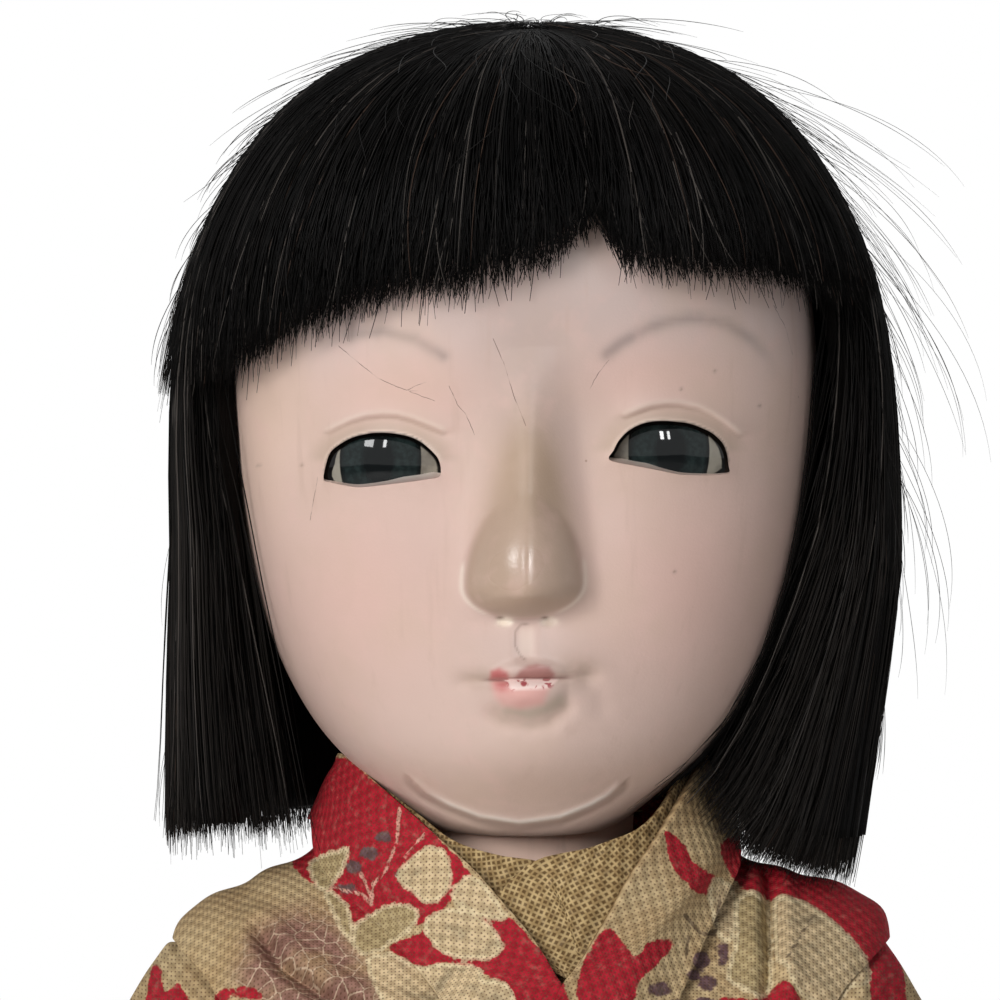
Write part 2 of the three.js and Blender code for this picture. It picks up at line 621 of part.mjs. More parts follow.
function stuffedLimb(length, topRadius, endRadius, jointRadius, socket) {
  const rim = jointRadius - socket;
  const bindingZ = -length + rim + BINDING_RADIUS + 1.2;
  const groove = endRadius - BINDING_GROOVE;
  const dome = [0, 20, 40, 60, 80].map((turn) => [
    topRadius * Math.sin(radians(turn)),
    topRadius * Math.cos(radians(turn)),
  ]);
  const profile = [
    ...dome,
    [topRadius, -topRadius * 0.4],
    [(topRadius + endRadius) / 2 + 0.8, -length * 0.5],
    [endRadius + 0.4, bindingZ + 5],
    [endRadius, bindingZ + 1.6],
    [groove, bindingZ],
    [endRadius, bindingZ - 1.6],
    [endRadius - 0.6, -length + rim],
    [0, -length + rim],
  ];
  const stuffed = solid(turned(profile.slice().reverse(), 14));
  const limb = stuffed.subtract(ball(jointRadius + SWING_GAP, 0, 0, -length));
  const ringRadius = groove + SEAT_GAP + BINDING_RADIUS + 0.3;
  const binding = moved(new THREE.TorusGeometry(ringRadius, BINDING_RADIUS, 5, 14), 0, 0, bindingZ);
  return { limb, binding };
}

// A forearm with its hand: a turned arm, a flat palm, four fingers side by side and a thumb.
function forearmSolid() {
  const arm = solid(turned([
    [0, -FOREARM_LENGTH - 3],
    [WRIST_RADIUS * 0.8, -FOREARM_LENGTH - 2],
    [WRIST_RADIUS, -FOREARM_LENGTH + 2],
    [ELBOW_RADIUS, -FOREARM_LENGTH * 0.45],
    [ELBOW_RADIUS, 0],
    [ELBOW_RADIUS * 0.866, ELBOW_RADIUS * 0.5],
    [ELBOW_RADIUS * 0.5, ELBOW_RADIUS * 0.866],
    [0, ELBOW_RADIUS],
  ], 12));
  const palmZ = -FOREARM_LENGTH - PALM_LENGTH / 2;
  const palm = new THREE.SphereGeometry(1, 10, 6);
  palm.scale(PALM_THICKNESS / 2, PALM_WIDTH / 2, PALM_LENGTH * 0.72);
  let hand = arm.add(solid(moved(palm, 0, 0, palmZ)));
  const spread = PALM_WIDTH / 4;
  for (let i = 0; i < 4; i++) {
    const y = (i - 1.5) * spread * 0.92;
    const length = FINGER_LENGTH - Math.abs(i - 1.4) * 1.4;
    const finger = new THREE.CapsuleGeometry(FINGER_RADIUS, length, 2, 5).rotateX(Math.PI / 2);
    hand = hand.add(solid(moved(finger, 0, y, palmZ - PALM_LENGTH * 0.5 - length / 2 + 1)));
  }
  const thumb = new THREE.CapsuleGeometry(FINGER_RADIUS * 1.1, PALM_LENGTH * 0.6, 2, 5)
    .rotateX(Math.PI / 2 + radians(-28));
  return hand.add(solid(moved(thumb, -FINGER_RADIUS * 0.5, -PALM_WIDTH * 0.52, palmZ - 1)));
}

function buildArm(side, label) {
  const arm = new THREE.Group();
  arm.position.set(side * shoulderX, 0, shoulderZ);
  arm.rotation.y = -side * radians(ARM_SPREAD);
  doll.add(arm);
  const elbowEnd = ELBOW_RADIUS + LIMB_END_EASE;
  const parts = stuffedLimb(UPPER_ARM_LENGTH, UPPER_ARM_RADIUS, elbowEnd, ELBOW_RADIUS, ELBOW_SOCKET);
  addNode(arm, `${label}_upper_arm`, parts.limb, COTTON);
  addNode(arm, `${label}_elbow_binding`, parts.binding, THREAD);
  const forearm = forearmSolid();
  const placed = geometryOf(side > 0 ? forearm : mirrored(forearm)).translate(0, 0, -UPPER_ARM_LENGTH);
  addNode(arm, `${label}_forearm`, placed, SHELL_WHITE);
}

// A lower leg with its foot: a turned calf joined to a foot skinned from heel to toe, flat under the sole.
function lowerLegSolid() {
  const calf = solid(turned([
    [0, FOOT_HEIGHT * 0.5],
    [ANKLE_RADIUS, FOOT_HEIGHT * 0.5],
    [ANKLE_RADIUS, FOOT_HEIGHT + 6],
    [CALF_RADIUS, LOWER_LEG_HEIGHT * 0.62],
    [KNEE_RADIUS, LOWER_LEG_HEIGHT * 0.85],
    [KNEE_RADIUS, LOWER_LEG_HEIGHT],
    [KNEE_RADIUS * 0.866, LOWER_LEG_HEIGHT + KNEE_RADIUS * 0.5],
    [KNEE_RADIUS * 0.5, LOWER_LEG_HEIGHT + KNEE_RADIUS * 0.866],
    [0, LOWER_LEG_HEIGHT + KNEE_RADIUS],
  ], 14));
  const footRing = (share, widthShare, heightShare) => {
    const y = HEEL_BACK - share * FOOT_LENGTH;
    const half = (FOOT_WIDTH / 2) * widthShare;
    const top = FOOT_HEIGHT * heightShare;
    const arch = [0, 30, 60, 90, 120, 150, 180].map((turn) => {
      const across = Math.cos(radians(turn)) * half;
      return vector(across, y, Math.max(0.35 * top, 0) + Math.sin(radians(turn)) * 0.65 * top);
    });
    return [...arch, vector(-half * 0.9, y, 0), vector(half * 0.9, y, 0)];
  };
  const foot = skinned([
    footRing(0, 0.5, 0.55),
    footRing(0.08, 0.78, 0.85),
    footRing(0.3, 0.86, 1.15),
    footRing(0.5, 0.92, 1),
    footRing(0.72, 1, 0.72),
    footRing(0.9, 0.92, 0.55),
    footRing(1, 0.6, 0.4),
  ]);
  return calf.add(solid(foot));
}

function buildLeg(side, label) {
  const thigh = new THREE.Group();
  thigh.position.set(side * LEG_SPACING, 0, hipZ);
  doll.add(thigh);
  const kneeEnd = KNEE_RADIUS + LIMB_END_EASE;
  const parts = stuffedLimb(THIGH_LENGTH, THIGH_RADIUS, kneeEnd, KNEE_RADIUS, KNEE_SOCKET);
  addNode(thigh, `${label}_thigh`, parts.limb, COTTON);
  addNode(thigh, `${label}_knee_binding`, parts.binding, THREAD);
  addNode(thigh, `${label}_lower_leg`, geometryOf(lowerLegSolid()).translate(0, 0, -hipZ), SHELL_WHITE);
}

// Kimono: stations of the bodice's outer surface from the standing collar down to the waist,
// as [half-width, reach to the front, reach to the back, height at the sides, in front, behind]
const BODICE_STATIONS = [
  [20, 19.5, 18, chestTop + 17, chestTop + 12.5, chestTop + 20],
  [21.5, 20.5, 18.5, chestTop + 15.8, chestTop + 9.5, chestTop + 18],
  [23.5, 21.5, 19.5, chestTop + 14, chestTop + 4, chestTop + 15],
  [26, 22.5, 20.5, chestTop + 10, chestTop - 4, chestTop + 10.5],
  [35, 24, 23, chestTop + 5, chestTop - 9, chestTop + 5],
  [kimonoShoulderX, 26, 25, shoulderZ + 14.5, shoulderZ + 1, shoulderZ + 9],
  [kimonoShoulderX, 27.5, 26, shoulderZ - 2, shoulderZ - 9, shoulderZ - 5],
  [37.5, 27.5, 25.5, obiTop + 12, obiTop + 12, obiTop + 12],
  [34.5, 26.5, 24.5, waistZ, waistZ, waistZ],
];
const NECK_EDGE = 3;
const BODICE_ROWS = 7;

// A point of the bodice's outer surface, at an angle round the body and a place down the stations.
function bodicePoint(angle, down) {
  const [halfWidth, front, back, sideZ, frontZ, backZ] = through(BODICE_STATIONS, down);
  const sine = Math.sin(angle);
  const [reach, endZ] = sine < 0 ? [front, frontZ] : [back, backZ];
  return vector(halfWidth * Math.cos(angle), reach * sine, sideZ + (endZ - sideZ) * sine * sine);
}

function bodiceNormal(angle, down) {
  const step = 0.01;
  const round = bodicePoint(angle + step, down).sub(bodicePoint(angle - step, down));
  const along = bodicePoint(angle, Math.min(down + step, BODICE_STATIONS.length - 1))
    .sub(bodicePoint(angle, Math.max(down - step, 0)));
  return along.cross(round).normalize();
}

// The space that an arm sweeps as it swings, kept below the top of the shoulder.
function armSweep(side) {
  const slope = 1 / Math.tan(radians(ARM_SPREAD));
  const across = (UPPER_ARM_RADIUS + SWING_GAP) / Math.sin(radians(ARM_SPREAD));
  const reach = UPPER_ARM_RADIUS + SWING_GAP;
  const shaft = (x) => Math.max(reach, (x - shoulderX) * slope + across);
  const inside = shoulderX - reach;
  const outside = shoulderX + reach;
  const flare = shoulderX + (reach - across) / slope;
  const profile = [
    [0, inside],
    [reach * 0.7, inside + reach * 0.3],
    [reach, flare],
    [shaft(outside), outside],
    [0, outside],
  ];
  const cone = solid(turned(profile, 28).rotateY(Math.PI / 2).translate(0, 0, shoulderZ));
  const wide = outside * 2;
  const sweep = cone.intersect(block([-wide, -wide, 0], [wide, wide, shoulderZ + ARMHOLE_TOP]));
  return side > 0 ? sweep : mirrored(sweep);
}

const kimono = new THREE.Group();
doll.add(kimono);

function buildBodice() {
  const angles = evenAngles(22);
  const last = BODICE_STATIONS.length - 1;
  const rings = (inset) => Array.from({ length: BODICE_ROWS + 1 }, (_, r) => {
    const down = NECK_EDGE + ((last - NECK_EDGE) * r) / BODICE_ROWS;
    return angles.map((angle) => bodicePoint(angle, down).addScaledVector(bodiceNormal(angle, down), -inset));
  });
  let bodice = solid(tubeOfCloth(rings(0), rings(CLOTH_THICKNESS)));
  for (const side of [-1, 1]) bodice = bodice.subtract(armSweep(side));
  addNode(kimono, "kimono_bodice", mainBody(bodice), KIMONO_PRINT);
}

// Where a short step along the bodice leads, square to a given direction and away from the neck.
function stepAcross(angle, down, ahead, length) {
  const nudge = 0.02;
  const here = bodicePoint(angle, down);
  const perAngle = bodicePoint(angle + nudge, down).sub(here).divideScalar(nudge);
  const perDown = bodicePoint(angle, down + nudge).sub(here).divideScalar(nudge);
  const sideways = ahead.clone().cross(bodiceNormal(angle, down)).normalize();
  if (sideways.dot(perDown) < 0) sideways.negate();
  const [aa, ad, dd] = [perAngle.dot(perAngle), perAngle.dot(perDown), perDown.dot(perDown)];
  const [sa, sd] = [perAngle.dot(sideways), perDown.dot(sideways)];
  const det = aa * dd - ad * ad;
  return [angle + (length * (sa * dd - sd * ad)) / det, down + (length * (sd * aa - sa * ad)) / det];
}

// Inner edges of the left collar bands from the nape round to the front,
// as [angle in degrees, place down the bodice's stations]
const KIMONO_COLLAR_EDGE = [
  [89.2, 1], [50, 1], [5, 1], [-25, 1], [-43, 1], [-57, 1.25], [-71, 1.95], [-82, 2.7],
  [-89, 3.5], [-97, 5.3], [-106, 6.4], [-115, 7.1], [-121, 7.6],
];
const UNDER_COLLAR_EDGE = [
  [89.2, 0.1], [50, 0.1], [5, 0.1], [-25, 0.1], [-45, 0.1], [-62, 0.25], [-78, 0.7], [-90, 1.6],
  [-98, 2.6], [-103, 3.5],
];

// A collar band laid on the bodice, its width running outwards from its inner edge.
function collarBand(places, width, thickness, lift) {
  const lengths = 18;
  const widths = 4;
  const stepsPerWidth = 3;
  const placeAt = (at) => through(places, THREE.MathUtils.clamp(at, 0, places.length - 1));
  const pointAt = (at) => bodicePoint(radians(placeAt(at)[0]), placeAt(at)[1]);
  const rows = Array.from({ length: lengths + 1 }, (_, s) => {
    const at = ((places.length - 1) * s) / lengths;
    const ahead = pointAt(at + 0.02).sub(pointAt(at - 0.02)).normalize();
    let [angle, down] = [radians(placeAt(at)[0]), placeAt(at)[1]];
    const spots = [[angle, down]];
    for (let w = 0; w < widths; w++) {
      for (let k = 0; k < stepsPerWidth; k++) {
        [angle, down] = stepAcross(angle, down, ahead, width / widths / stepsPerWidth);
      }
      spots.push([angle, down]);
    }
    const base = lift(smooth(-Math.sin(spots[0][0]), 0.3, 0.85));
    const raised = (height) => spots.map(
      ([a, d]) => bodicePoint(a, d).addScaledVector(bodiceNormal(a, d), height),
    );
    return { outer: raised(base + thickness), inner: raised(base) };
  });
  return sheetOfCloth(rows.map((row) => row.outer), rows.map((row) => row.inner));
}

function buildCollars() {
  const turnOver = (places) => places.map(([angle, down]) => [180 - angle, down]);
  // Heights of the layers above the bodice, where they lie single and where they cross in front
  const underOver = COLLAR_GAP * 2 + UNDER_COLLAR_THICKNESS;
  const single = underOver + COLLAR_GAP / 2;
  const kimonoUnder = underOver + UNDER_COLLAR_THICKNESS + COLLAR_GAP;
  const kimonoOver = kimonoUnder + COLLAR_THICKNESS + COLLAR_GAP;
  const rising = (low, high) => (front) => THREE.MathUtils.lerp(low, high, front);
  const wide = kimonoShoulderX * 2;
  const aboveSash = block([-wide, -wide, obiTop + SEAT_GAP], [wide, wide, chinZ * 2]);
  const band = (places, width, thickness, lift) => mainBody(
    solid(collarBand(places, width, thickness, lift)).intersect(aboveSash),
  );
  const under = (places, lift) => band(places, UNDER_COLLAR_WIDTH, UNDER_COLLAR_THICKNESS, lift);
  const over = (places, lift) => band(places, COLLAR_WIDTH, COLLAR_THICKNESS, lift);
  const rightUnder = under(turnOver(UNDER_COLLAR_EDGE), rising(COLLAR_GAP, COLLAR_GAP));
  const leftUnder = under(UNDER_COLLAR_EDGE, rising(COLLAR_GAP, underOver));
  const rightOver = over(turnOver(KIMONO_COLLAR_EDGE), rising(single, kimonoUnder));
  const leftOver = over(KIMONO_COLLAR_EDGE, rising(single, kimonoOver));
  addNode(kimono, "right_under_collar", rightUnder, TAN_SCRIM);
  addNode(kimono, "left_under_collar", leftUnder, TAN_SCRIM);
  addNode(kimono, "right_kimono_collar", rightOver, KIMONO_PRINT);
  addNode(kimono, "left_kimono_collar", leftOver, KIMONO_PRINT);
}

// Skirt: stations of its outer surface as [half-width, reach to the front, reach to the back, height]
const SKIRT_STATIONS = [
  [34.5, 26.5, 24.5, waistZ - SEAT_GAP],
  [36.5, 27.5, 26, obiBottom - SEAT_GAP],
  [40, 29, 29, hipZ + 19],
  [41.5, 31, 31, hipZ - 26],
  [41, 32.5, 32, kneeZ - 18],
  [40.5, 33.5, 33, HEM_HEIGHT],
];

function skirtPoint(angle, down, offset) {
  const [halfWidth, front, back, height] = through(SKIRT_STATIONS, down);
  const hang = smooth(down, 1, SKIRT_STATIONS.length - 1);
  const fold = SKIRT_FOLD_DEPTH * hang * Math.cos(SKIRT_FOLDS * angle);
  const sine = Math.sin(angle);
  const grow = fold + offset;
  return vector((halfWidth + grow) * Math.cos(angle), ((sine < 0 ? front : back) + grow) * sine, height);
}

function buildSkirt() {
  const last = SKIRT_STATIONS.length - 1;
  const rows = 5;
  const down = Array.from({ length: rows + 1 }, (_, r) => (last * r) / rows);
  const rings = (offset) => down.map((d) => evenAngles(32).map((angle) => skirtPoint(angle, d, offset)));
  addNode(kimono, "kimono_skirt", tubeOfCloth(rings(0), rings(-CLOTH_THICKNESS)), KIMONO_PRINT);

  // The left front panel laps over the right one, from the left side seam to its free edge.
  const from = radians(OVERLAP_FROM);
  const to = radians(OVERLAP_TO);
  const columns = 14;
  const angles = Array.from({ length: columns + 1 }, (_, i) => from + ((to - from) * i) / columns);
  const panelDown = Array.from({ length: rows }, (_, r) => 1 + ((last - 1) * r) / (rows - 1));
  const face = (offset) => panelDown.map((d) => angles.map((angle) => skirtPoint(angle, d, offset)));
  const panel = sheetOfCloth(face(CLOTH_GAP + CLOTH_THICKNESS), face(CLOTH_GAP));
  addNode(kimono, "kimono_front_lap", panel, KIMONO_PRINT);
}

// Sleeves: a flat bag hung along the arm, open at the armhole and, for the hand, at the cuff
function sleeveSolid() {
  const sine = Math.sin(radians(ARM_SPREAD));
  const slope = 1 / Math.tan(radians(ARM_SPREAD));
  const armZ = (x) => shoulderZ - (x - shoulderX) * slope;
  const innerX = kimonoShoulderX + SEAT_GAP + 1;
  const cuffX = shoulderX + (UPPER_ARM_LENGTH + FOREARM_LENGTH + CUFF_PAST_WRIST) * sine;
  const hemZ = armZ(cuffX) - SLEEVE_DROP;
  const armpitZ = shoulderZ - SLEEVE_ARMHOLE;
  const thin = SLEEVE_HEM_HALF_DEPTH;
  // Places across the sleeve: distance from the middle of the doll, lower edge, half-depth at that edge
  const stations = [
    [innerX, armpitZ, SLEEVE_HALF_DEPTH - 1],
    [innerX + 3.5, armpitZ - 14, SLEEVE_HALF_DEPTH - 2],
    [innerX + 6.5, hemZ + 4, thin],
    [innerX + 14, hemZ, thin],
    [(innerX + cuffX) / 2 + 8, hemZ, thin],
    [cuffX - 4, hemZ + 0.5, thin],
    [cuffX, hemZ + 4, thin],
  ];
  const rise = SLEEVE_HALF_DEPTH / sine - 2;
  const ring = (x, bottom, edge, inset) => {
    const top = armZ(x);
    const upper = [0, 22.5, 45, 67.5, 90, 112.5, 135, 157.5, 180].map((turn) => vector(
      x,
      Math.cos(radians(turn)) * (SLEEVE_HALF_DEPTH - inset),
      top + Math.sin(radians(turn)) * (rise - inset),
    ));
    const hem = edge - inset;
    const foot = bottom + inset + hem;
    const lower = [180, 225, 270, 315, 360].map((turn) => vector(
      x,
      Math.cos(radians(turn)) * hem,
      foot + Math.sin(radians(turn)) * hem,
    ));
    return [...upper, ...lower];
  };
  const outside = solid(skinned(stations.map(([x, bottom, edge]) => ring(x, bottom, edge, 0))));
  const wall = CLOTH_THICKNESS;
  const inside = stations.map(([x, bottom, edge], i) => {
    const place = i === 0 ? x - 1 : i === stations.length - 1 ? x - wall : x + (i < 3 ? wall : 0);
    return ring(place, bottom, edge, wall);
  });
  // The cuff is the upper stretch of the outer edge, left open at the sleeve's full inside depth.
  const cuffEdge = stations[stations.length - 1];
  const cuffDepth = [cuffX - 2 * wall, cuffX + wall].map((x) => ring(x, cuffEdge[1], cuffEdge[2], wall));
  const cuffTop = armZ(cuffX) + rise;
  const aboveSeam = block([0, -cuffX, cuffTop - CUFF_OPENING], [cuffX * 2, cuffX, cuffTop * 2]);
  const cuff = solid(skinned(cuffDepth)).intersect(aboveSeam);
  return mainBody(outside.subtract(solid(skinned(inside))).subtract(cuff));
}

function buildSleeves() {
  const sleeve = sleeveSolid();
  addNode(kimono, "left_sleeve", sleeve, KIMONO_PRINT);
  addNode(kimono, "right_sleeve", mirrored(sleeve), KIMONO_PRINT);
}

// Obi: a wide sash round the waist with a cord over it and a bow behind
function buildObi() {
  const waist = BODICE_STATIONS[BODICE_STATIONS.length - 1];
  const sashRing = (z, offset) => {
    const away = ((z - waistZ) / (OBI_HEIGHT / 2)) ** 2 * 2.2;
    const grow = away + offset;
    return eggRing(waist[0] + grow, waist[1] + grow, waist[2] + grow, z, evenAngles(28));
  };
  const levels = [0, 0.33, 0.67, 1].map((share) => obiBottom + share * OBI_HEIGHT);
  const inner = CLOTH_GAP + 0.4;
  const rings = (offset) => levels.map((z) => sashRing(z, offset));
  addNode(kimono, "obi_band", tubeOfCloth(rings(inner + OBI_THICKNESS), rings(inner)), OBI_CLOTH);

  const cordZ = waistZ;
  const cordOut = inner + OBI_THICKNESS + SEAT_GAP + OBI_CORD_RADIUS;
  const cordInside = sashRing(cordZ, cordOut);
  const cordRings = cordInside.map((point) => {
    const outward = vector(point.x, point.y, 0).normalize();
    return [0, 60, 120, 180, 240, 300].map((turn) => point.clone()
      .addScaledVector(outward, Math.cos(radians(turn)) * OBI_CORD_RADIUS)
      .add(vector(0, 0, Math.sin(radians(turn)) * OBI_CORD_RADIUS)));
  });
  addNode(kimono, "obi_cord", tubeOfCloth(cordRings, []), OBI_CORD);

  // The bow sits on the cord behind: a knot with a folded loop of sash at each side.
  const bowZ = waistZ + 4;
  const backY = waist[2] + cordOut + OBI_CORD_RADIUS + SEAT_GAP;
  const knot = new THREE.SphereGeometry(1, 12, 8).scale(KNOT_WIDTH / 2, KNOT_DEPTH / 2, KNOT_HEIGHT / 2);
  addNode(kimono, "obi_knot", moved(knot, 0, backY + KNOT_DEPTH / 2, bowZ), OBI_CLOTH);
  const stadium = (inset) => {
    const end = LOOP_DEPTH / 2;
    const path = new THREE.Path();
    path.absarc(LOOP_LENGTH - end, 0, end - inset, -Math.PI / 2, Math.PI / 2, false);
    path.absarc(end, 0, end - inset, Math.PI / 2, (3 * Math.PI) / 2, false);
    path.closePath();
    return path;
  };
  const loopShape = new THREE.Shape(stadium(0).getPoints(3));
  loopShape.holes.push(new THREE.Path(stadium(LOOP_BAND).getPoints(3)));
  const loop = new THREE.ExtrudeGeometry(loopShape, { depth: LOOP_HEIGHT, bevelEnabled: false });
  loop.translate(0, 0, -LOOP_HEIGHT / 2);
  const loopX = KNOT_WIDTH / 2 + SEAT_GAP;
  loop.rotateY(radians(LOOP_DROOP));
  const clear = [KNOT_WIDTH, KNOT_DEPTH, KNOT_HEIGHT].map((size) => size / 2 + SEAT_GAP);
  const knotSpace = new THREE.SphereGeometry(1, 18, 12).scale(...clear);
  const placed = solid(moved(loop, loopX - 5, backY + LOOP_DEPTH / 2, bowZ))
    .subtract(solid(moved(knotSpace, 0, backY + KNOT_DEPTH / 2, bowZ)));
  addNode(kimono, "obi_left_loop", mainBody(placed), OBI_CLOTH);
  addNode(kimono, "obi_right_loop", mainBody(mirrored(placed)), OBI_CLOTH);
}

buildHead();
buildWig();
buildTrunk();
for (const [side, label] of [[1, "left"], [-1, "right"]]) {
  buildArm(side, label);
  buildLeg(side, label);
}
buildBodice();
buildCollars();
buildSkirt();
buildSleeves();
buildObi();

export default doll;
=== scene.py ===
import math

import bmesh
import bpy
import numpy as np
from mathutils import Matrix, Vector


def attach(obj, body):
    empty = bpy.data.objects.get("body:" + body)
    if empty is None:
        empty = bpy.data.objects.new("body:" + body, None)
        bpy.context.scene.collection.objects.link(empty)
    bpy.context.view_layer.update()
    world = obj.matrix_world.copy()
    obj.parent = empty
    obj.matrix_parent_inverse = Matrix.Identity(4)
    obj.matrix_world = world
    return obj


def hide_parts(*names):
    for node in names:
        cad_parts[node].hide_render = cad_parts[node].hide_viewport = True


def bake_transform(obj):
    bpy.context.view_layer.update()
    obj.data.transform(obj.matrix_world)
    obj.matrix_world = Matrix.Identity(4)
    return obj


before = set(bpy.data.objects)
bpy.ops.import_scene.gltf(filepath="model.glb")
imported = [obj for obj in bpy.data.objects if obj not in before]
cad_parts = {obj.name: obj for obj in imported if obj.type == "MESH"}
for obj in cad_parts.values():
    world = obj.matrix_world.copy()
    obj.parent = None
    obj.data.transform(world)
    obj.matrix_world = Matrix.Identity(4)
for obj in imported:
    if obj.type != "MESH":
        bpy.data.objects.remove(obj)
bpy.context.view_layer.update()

# The head: a hollow shell of pressed wood composition, brushed with many coats of shell white and polished.
# The nose, lids, lips and chin are modelled in the coat, and the brows and lips are painted over it.
# The coat has aged to a warm pink, with hair cracks, rubbed brown along the nose and chipped on the lips.
HEAD_Y, CHIN_Z = -4.0, 319.0
HEAD_STATIONS = [
    (-1.3, 0, 0, 0), (-0.9, 8.5, 13.5, 5.5), (0.4, 12.5, 20, 9), (4.4, 17.8, 25.2, 12.4),
    (10.6, 24.5, 30.5, 19), (17, 29, 33, 25), (25, 32.6, 34.5, 31), (36, 35.6, 35.2, 38),
    (48, 37.4, 35.4, 42.5), (61, 38.0, 37.2, 43.5), (74, 36.0, 36.8, 41.5), (85, 29.5, 31, 34),
    (92, 18.5, 19.5, 21.5), (96, 0, 0, 0),
]
HEAD_SQUARENESS = 2.2
FACE_TILT = 0.033


def through(stations, at):
    """A smooth run of values through a list of stations, evenly paced from one to the next."""
    rows = np.asarray(stations, float)
    at = np.clip(np.asarray(at, float), 0, len(rows) - 1 - 1e-9)
    i = at.astype(int)
    t = (at - i)[..., None]
    p1, p2 = rows[i], rows[i + 1]
    m1 = (p2 - rows[np.maximum(i - 1, 0)]) / 2
    m2 = (rows[np.minimum(i + 2, len(rows) - 1)] - p1) / 2
    return (2*t**3 - 3*t**2 + 1)*p1 + (t**3 - 2*t**2 + t)*m1 + (3*t**2 - 2*t**3)*p2 + (t**3 - t**2)*m2


def once_round(count):
    return np.linspace(0, 2 * math.pi, count, endpoint=False)


def ease(low, high, value):
    """0 below low, 1 above high and smooth between; either end may be the larger."""
    t = np.clip((np.asarray(value, float) - low) / (high - low), 0, 1)
    return t * t * (3 - 2 * t)


def mound(x, h, x0, h0, wide, tall):
    return np.exp(-((x - x0) / wide) ** 2 - ((h - h0) / tall) ** 2)


def line_distance(x, h, line):
    """How far points lie from a drawn line, and the same with a sign for the side they lie on."""
    best = np.full(np.shape(x), 1e9)
    signed = np.zeros(np.shape(x))
    for (x0, h0), (x1, h1) in zip(line, line[1:]):
        dx, dh = x1 - x0, h1 - h0
        along = np.clip(((x - x0)*dx + (h - h0)*dh) / (dx*dx + dh*dh), 0, 1)
        away = np.hypot(x - x0 - along*dx, h - h0 - along*dh)
        side = ((x - x0)*dh - (h - h0)*dx) / math.hypot(dx, dh)
        signed = np.where(away < best, side, signed)
        best = np.minimum(best, away)
    return best, signed


def bell(value, middle, width):
    return np.exp(-((value - middle) / width) ** 2)


def stroke(x, h, line, width):
    """How strongly points lie under a soft brush drawn along a line."""
    return bell(line_distance(x, h, line)[0], 0, width)


def outline_distance(x, h, outline):
    """The distance to a closed outline, negative inside it."""
    ring = list(outline) + [outline[0]]
    inside = np.zeros(np.shape(x), bool)
    for (x0, h0), (x1, h1) in zip(ring, ring[1:]):
        if h0 != h1:
            crosses = (h0 > h) != (h1 > h)
            inside ^= crosses & (x < (x1 - x0)*(h - h0)/(h1 - h0) + x0)
    away = line_distance(x, h, ring)[0]
    return np.where(inside, -away, away)


def rounded(outline, count):
    """A closed outline drawn smoothly through its points."""
    ring = [outline[-1], *outline, outline[0], outline[1]]
    return through(ring, 1 + np.arange(count) * len(outline) / count)


# Openings of the doll's right and left eyes, as [out from the middle of the face, up from the chin].
RIGHT_EYE_OPENING = [
    (-25.1, 44.6), (-24.8, 46.4), (-24.2, 48.0), (-23.0, 49.0), (-21.5, 49.8), (-20.0, 50.2), (-18.7, 50.4),
    (-17.0, 50.4), (-15.4, 50.2), (-13.9, 49.8), (-12.6, 49.1), (-11.4, 48.1), (-10.6, 47.1), (-10.3, 45.9),
    (-10.5, 44.9), (-11.9, 44.6), (-13.9, 44.3), (-16.4, 44.0), (-19.0, 43.7), (-20.8, 43.6), (-22.8, 43.9),
    (-24.2, 44.2),
]
LEFT_EYE_OPENING = [
    (10.8, 47.0), (11.3, 48.2), (12.0, 49.5), (13.1, 50.6), (14.5, 51.4), (16.0, 51.8), (17.6, 51.9),
    (19.2, 51.8), (20.8, 51.6), (22.3, 51.1), (23.6, 50.5), (24.6, 49.7), (25.3, 48.8), (25.7, 47.6),
    (25.9, 46.3), (26.0, 45.4), (25.0, 45.2), (23.6, 45.1), (21.2, 45.1), (19.5, 45.2), (17.0, 45.7),
    (13.8, 46.3),
]
# The edge of each lower lid where it meets the glass, a little higher than the opening in front.
RIGHT_LOWER_LID = [(-25.0, 45.2), (-24.0, 45.3), (-22.1, 44.7), (-20.8, 44.5), (-19, 44.5), (-17, 44.6),
                   (-15.1, 44.9), (-12.8, 45.2), (-11.3, 45.5), (-10.4, 45.4)]
LEFT_LOWER_LID = [(10.8, 47.3), (12.4, 47.2), (13.8, 46.9), (15.7, 46.6), (17.3, 46.2), (19, 45.9),
                  (20.8, 45.8), (23, 45.9), (24.6, 46.0), (26.0, 45.9)]
RIGHT_LID_FOLD = [(-24.4, 50.7), (-21.5, 52.0), (-19.7, 52.5), (-17.7, 52.7), (-15.8, 52.6), (-13.9, 52.1),
                  (-11.9, 51.3), (-10.2, 50.6)]
LEFT_LID_FOLD = [(12.9, 52.6), (16.0, 53.7), (17.9, 54.0), (19.6, 54.0), (22.0, 53.5), (23.7, 52.7),
                 (25.3, 51.7), (27.1, 50.3)]
EYES = {
    "right": (RIGHT_EYE_OPENING, RIGHT_LOWER_LID, RIGHT_LID_FOLD, (-18.1, 47.0)),
    "left": (LEFT_EYE_OPENING, LEFT_LOWER_LID, LEFT_LID_FOLD, (18.5, 48.2)),
}
CHIN_CREASE = [(-13.5, 6.2), (-12.2, 5.0), (-9.1, 3.4), (-5.4, 2.0), (-0.4, 1.2), (4.6, 1.9), (8.4, 3.4),
               (10.6, 4.6), (12, 5.8)]
UNDER_LIP = [(-3.6, 15.3), (-2.6, 14.5), (0.8, 13.9), (3.2, 14.3), (5.1, 16.0)]
MOUTH_FOLD = [(8.0, 19.9), (9.4, 18.1), (9.9, 15.9)]
MOUTH_X, MOUTH_H = 0.6, 19.65
NOSE_TIP_H, NOSE_ROOT_H = 31.5, 61.0
NOSE_BULB = (0.0, NOSE_TIP_H, 7.5, 4.3)
NOSE_BULB_FADE = 2.6
NOSE_REACH, NOSE_RIDGE_X = 8.4, 0.6


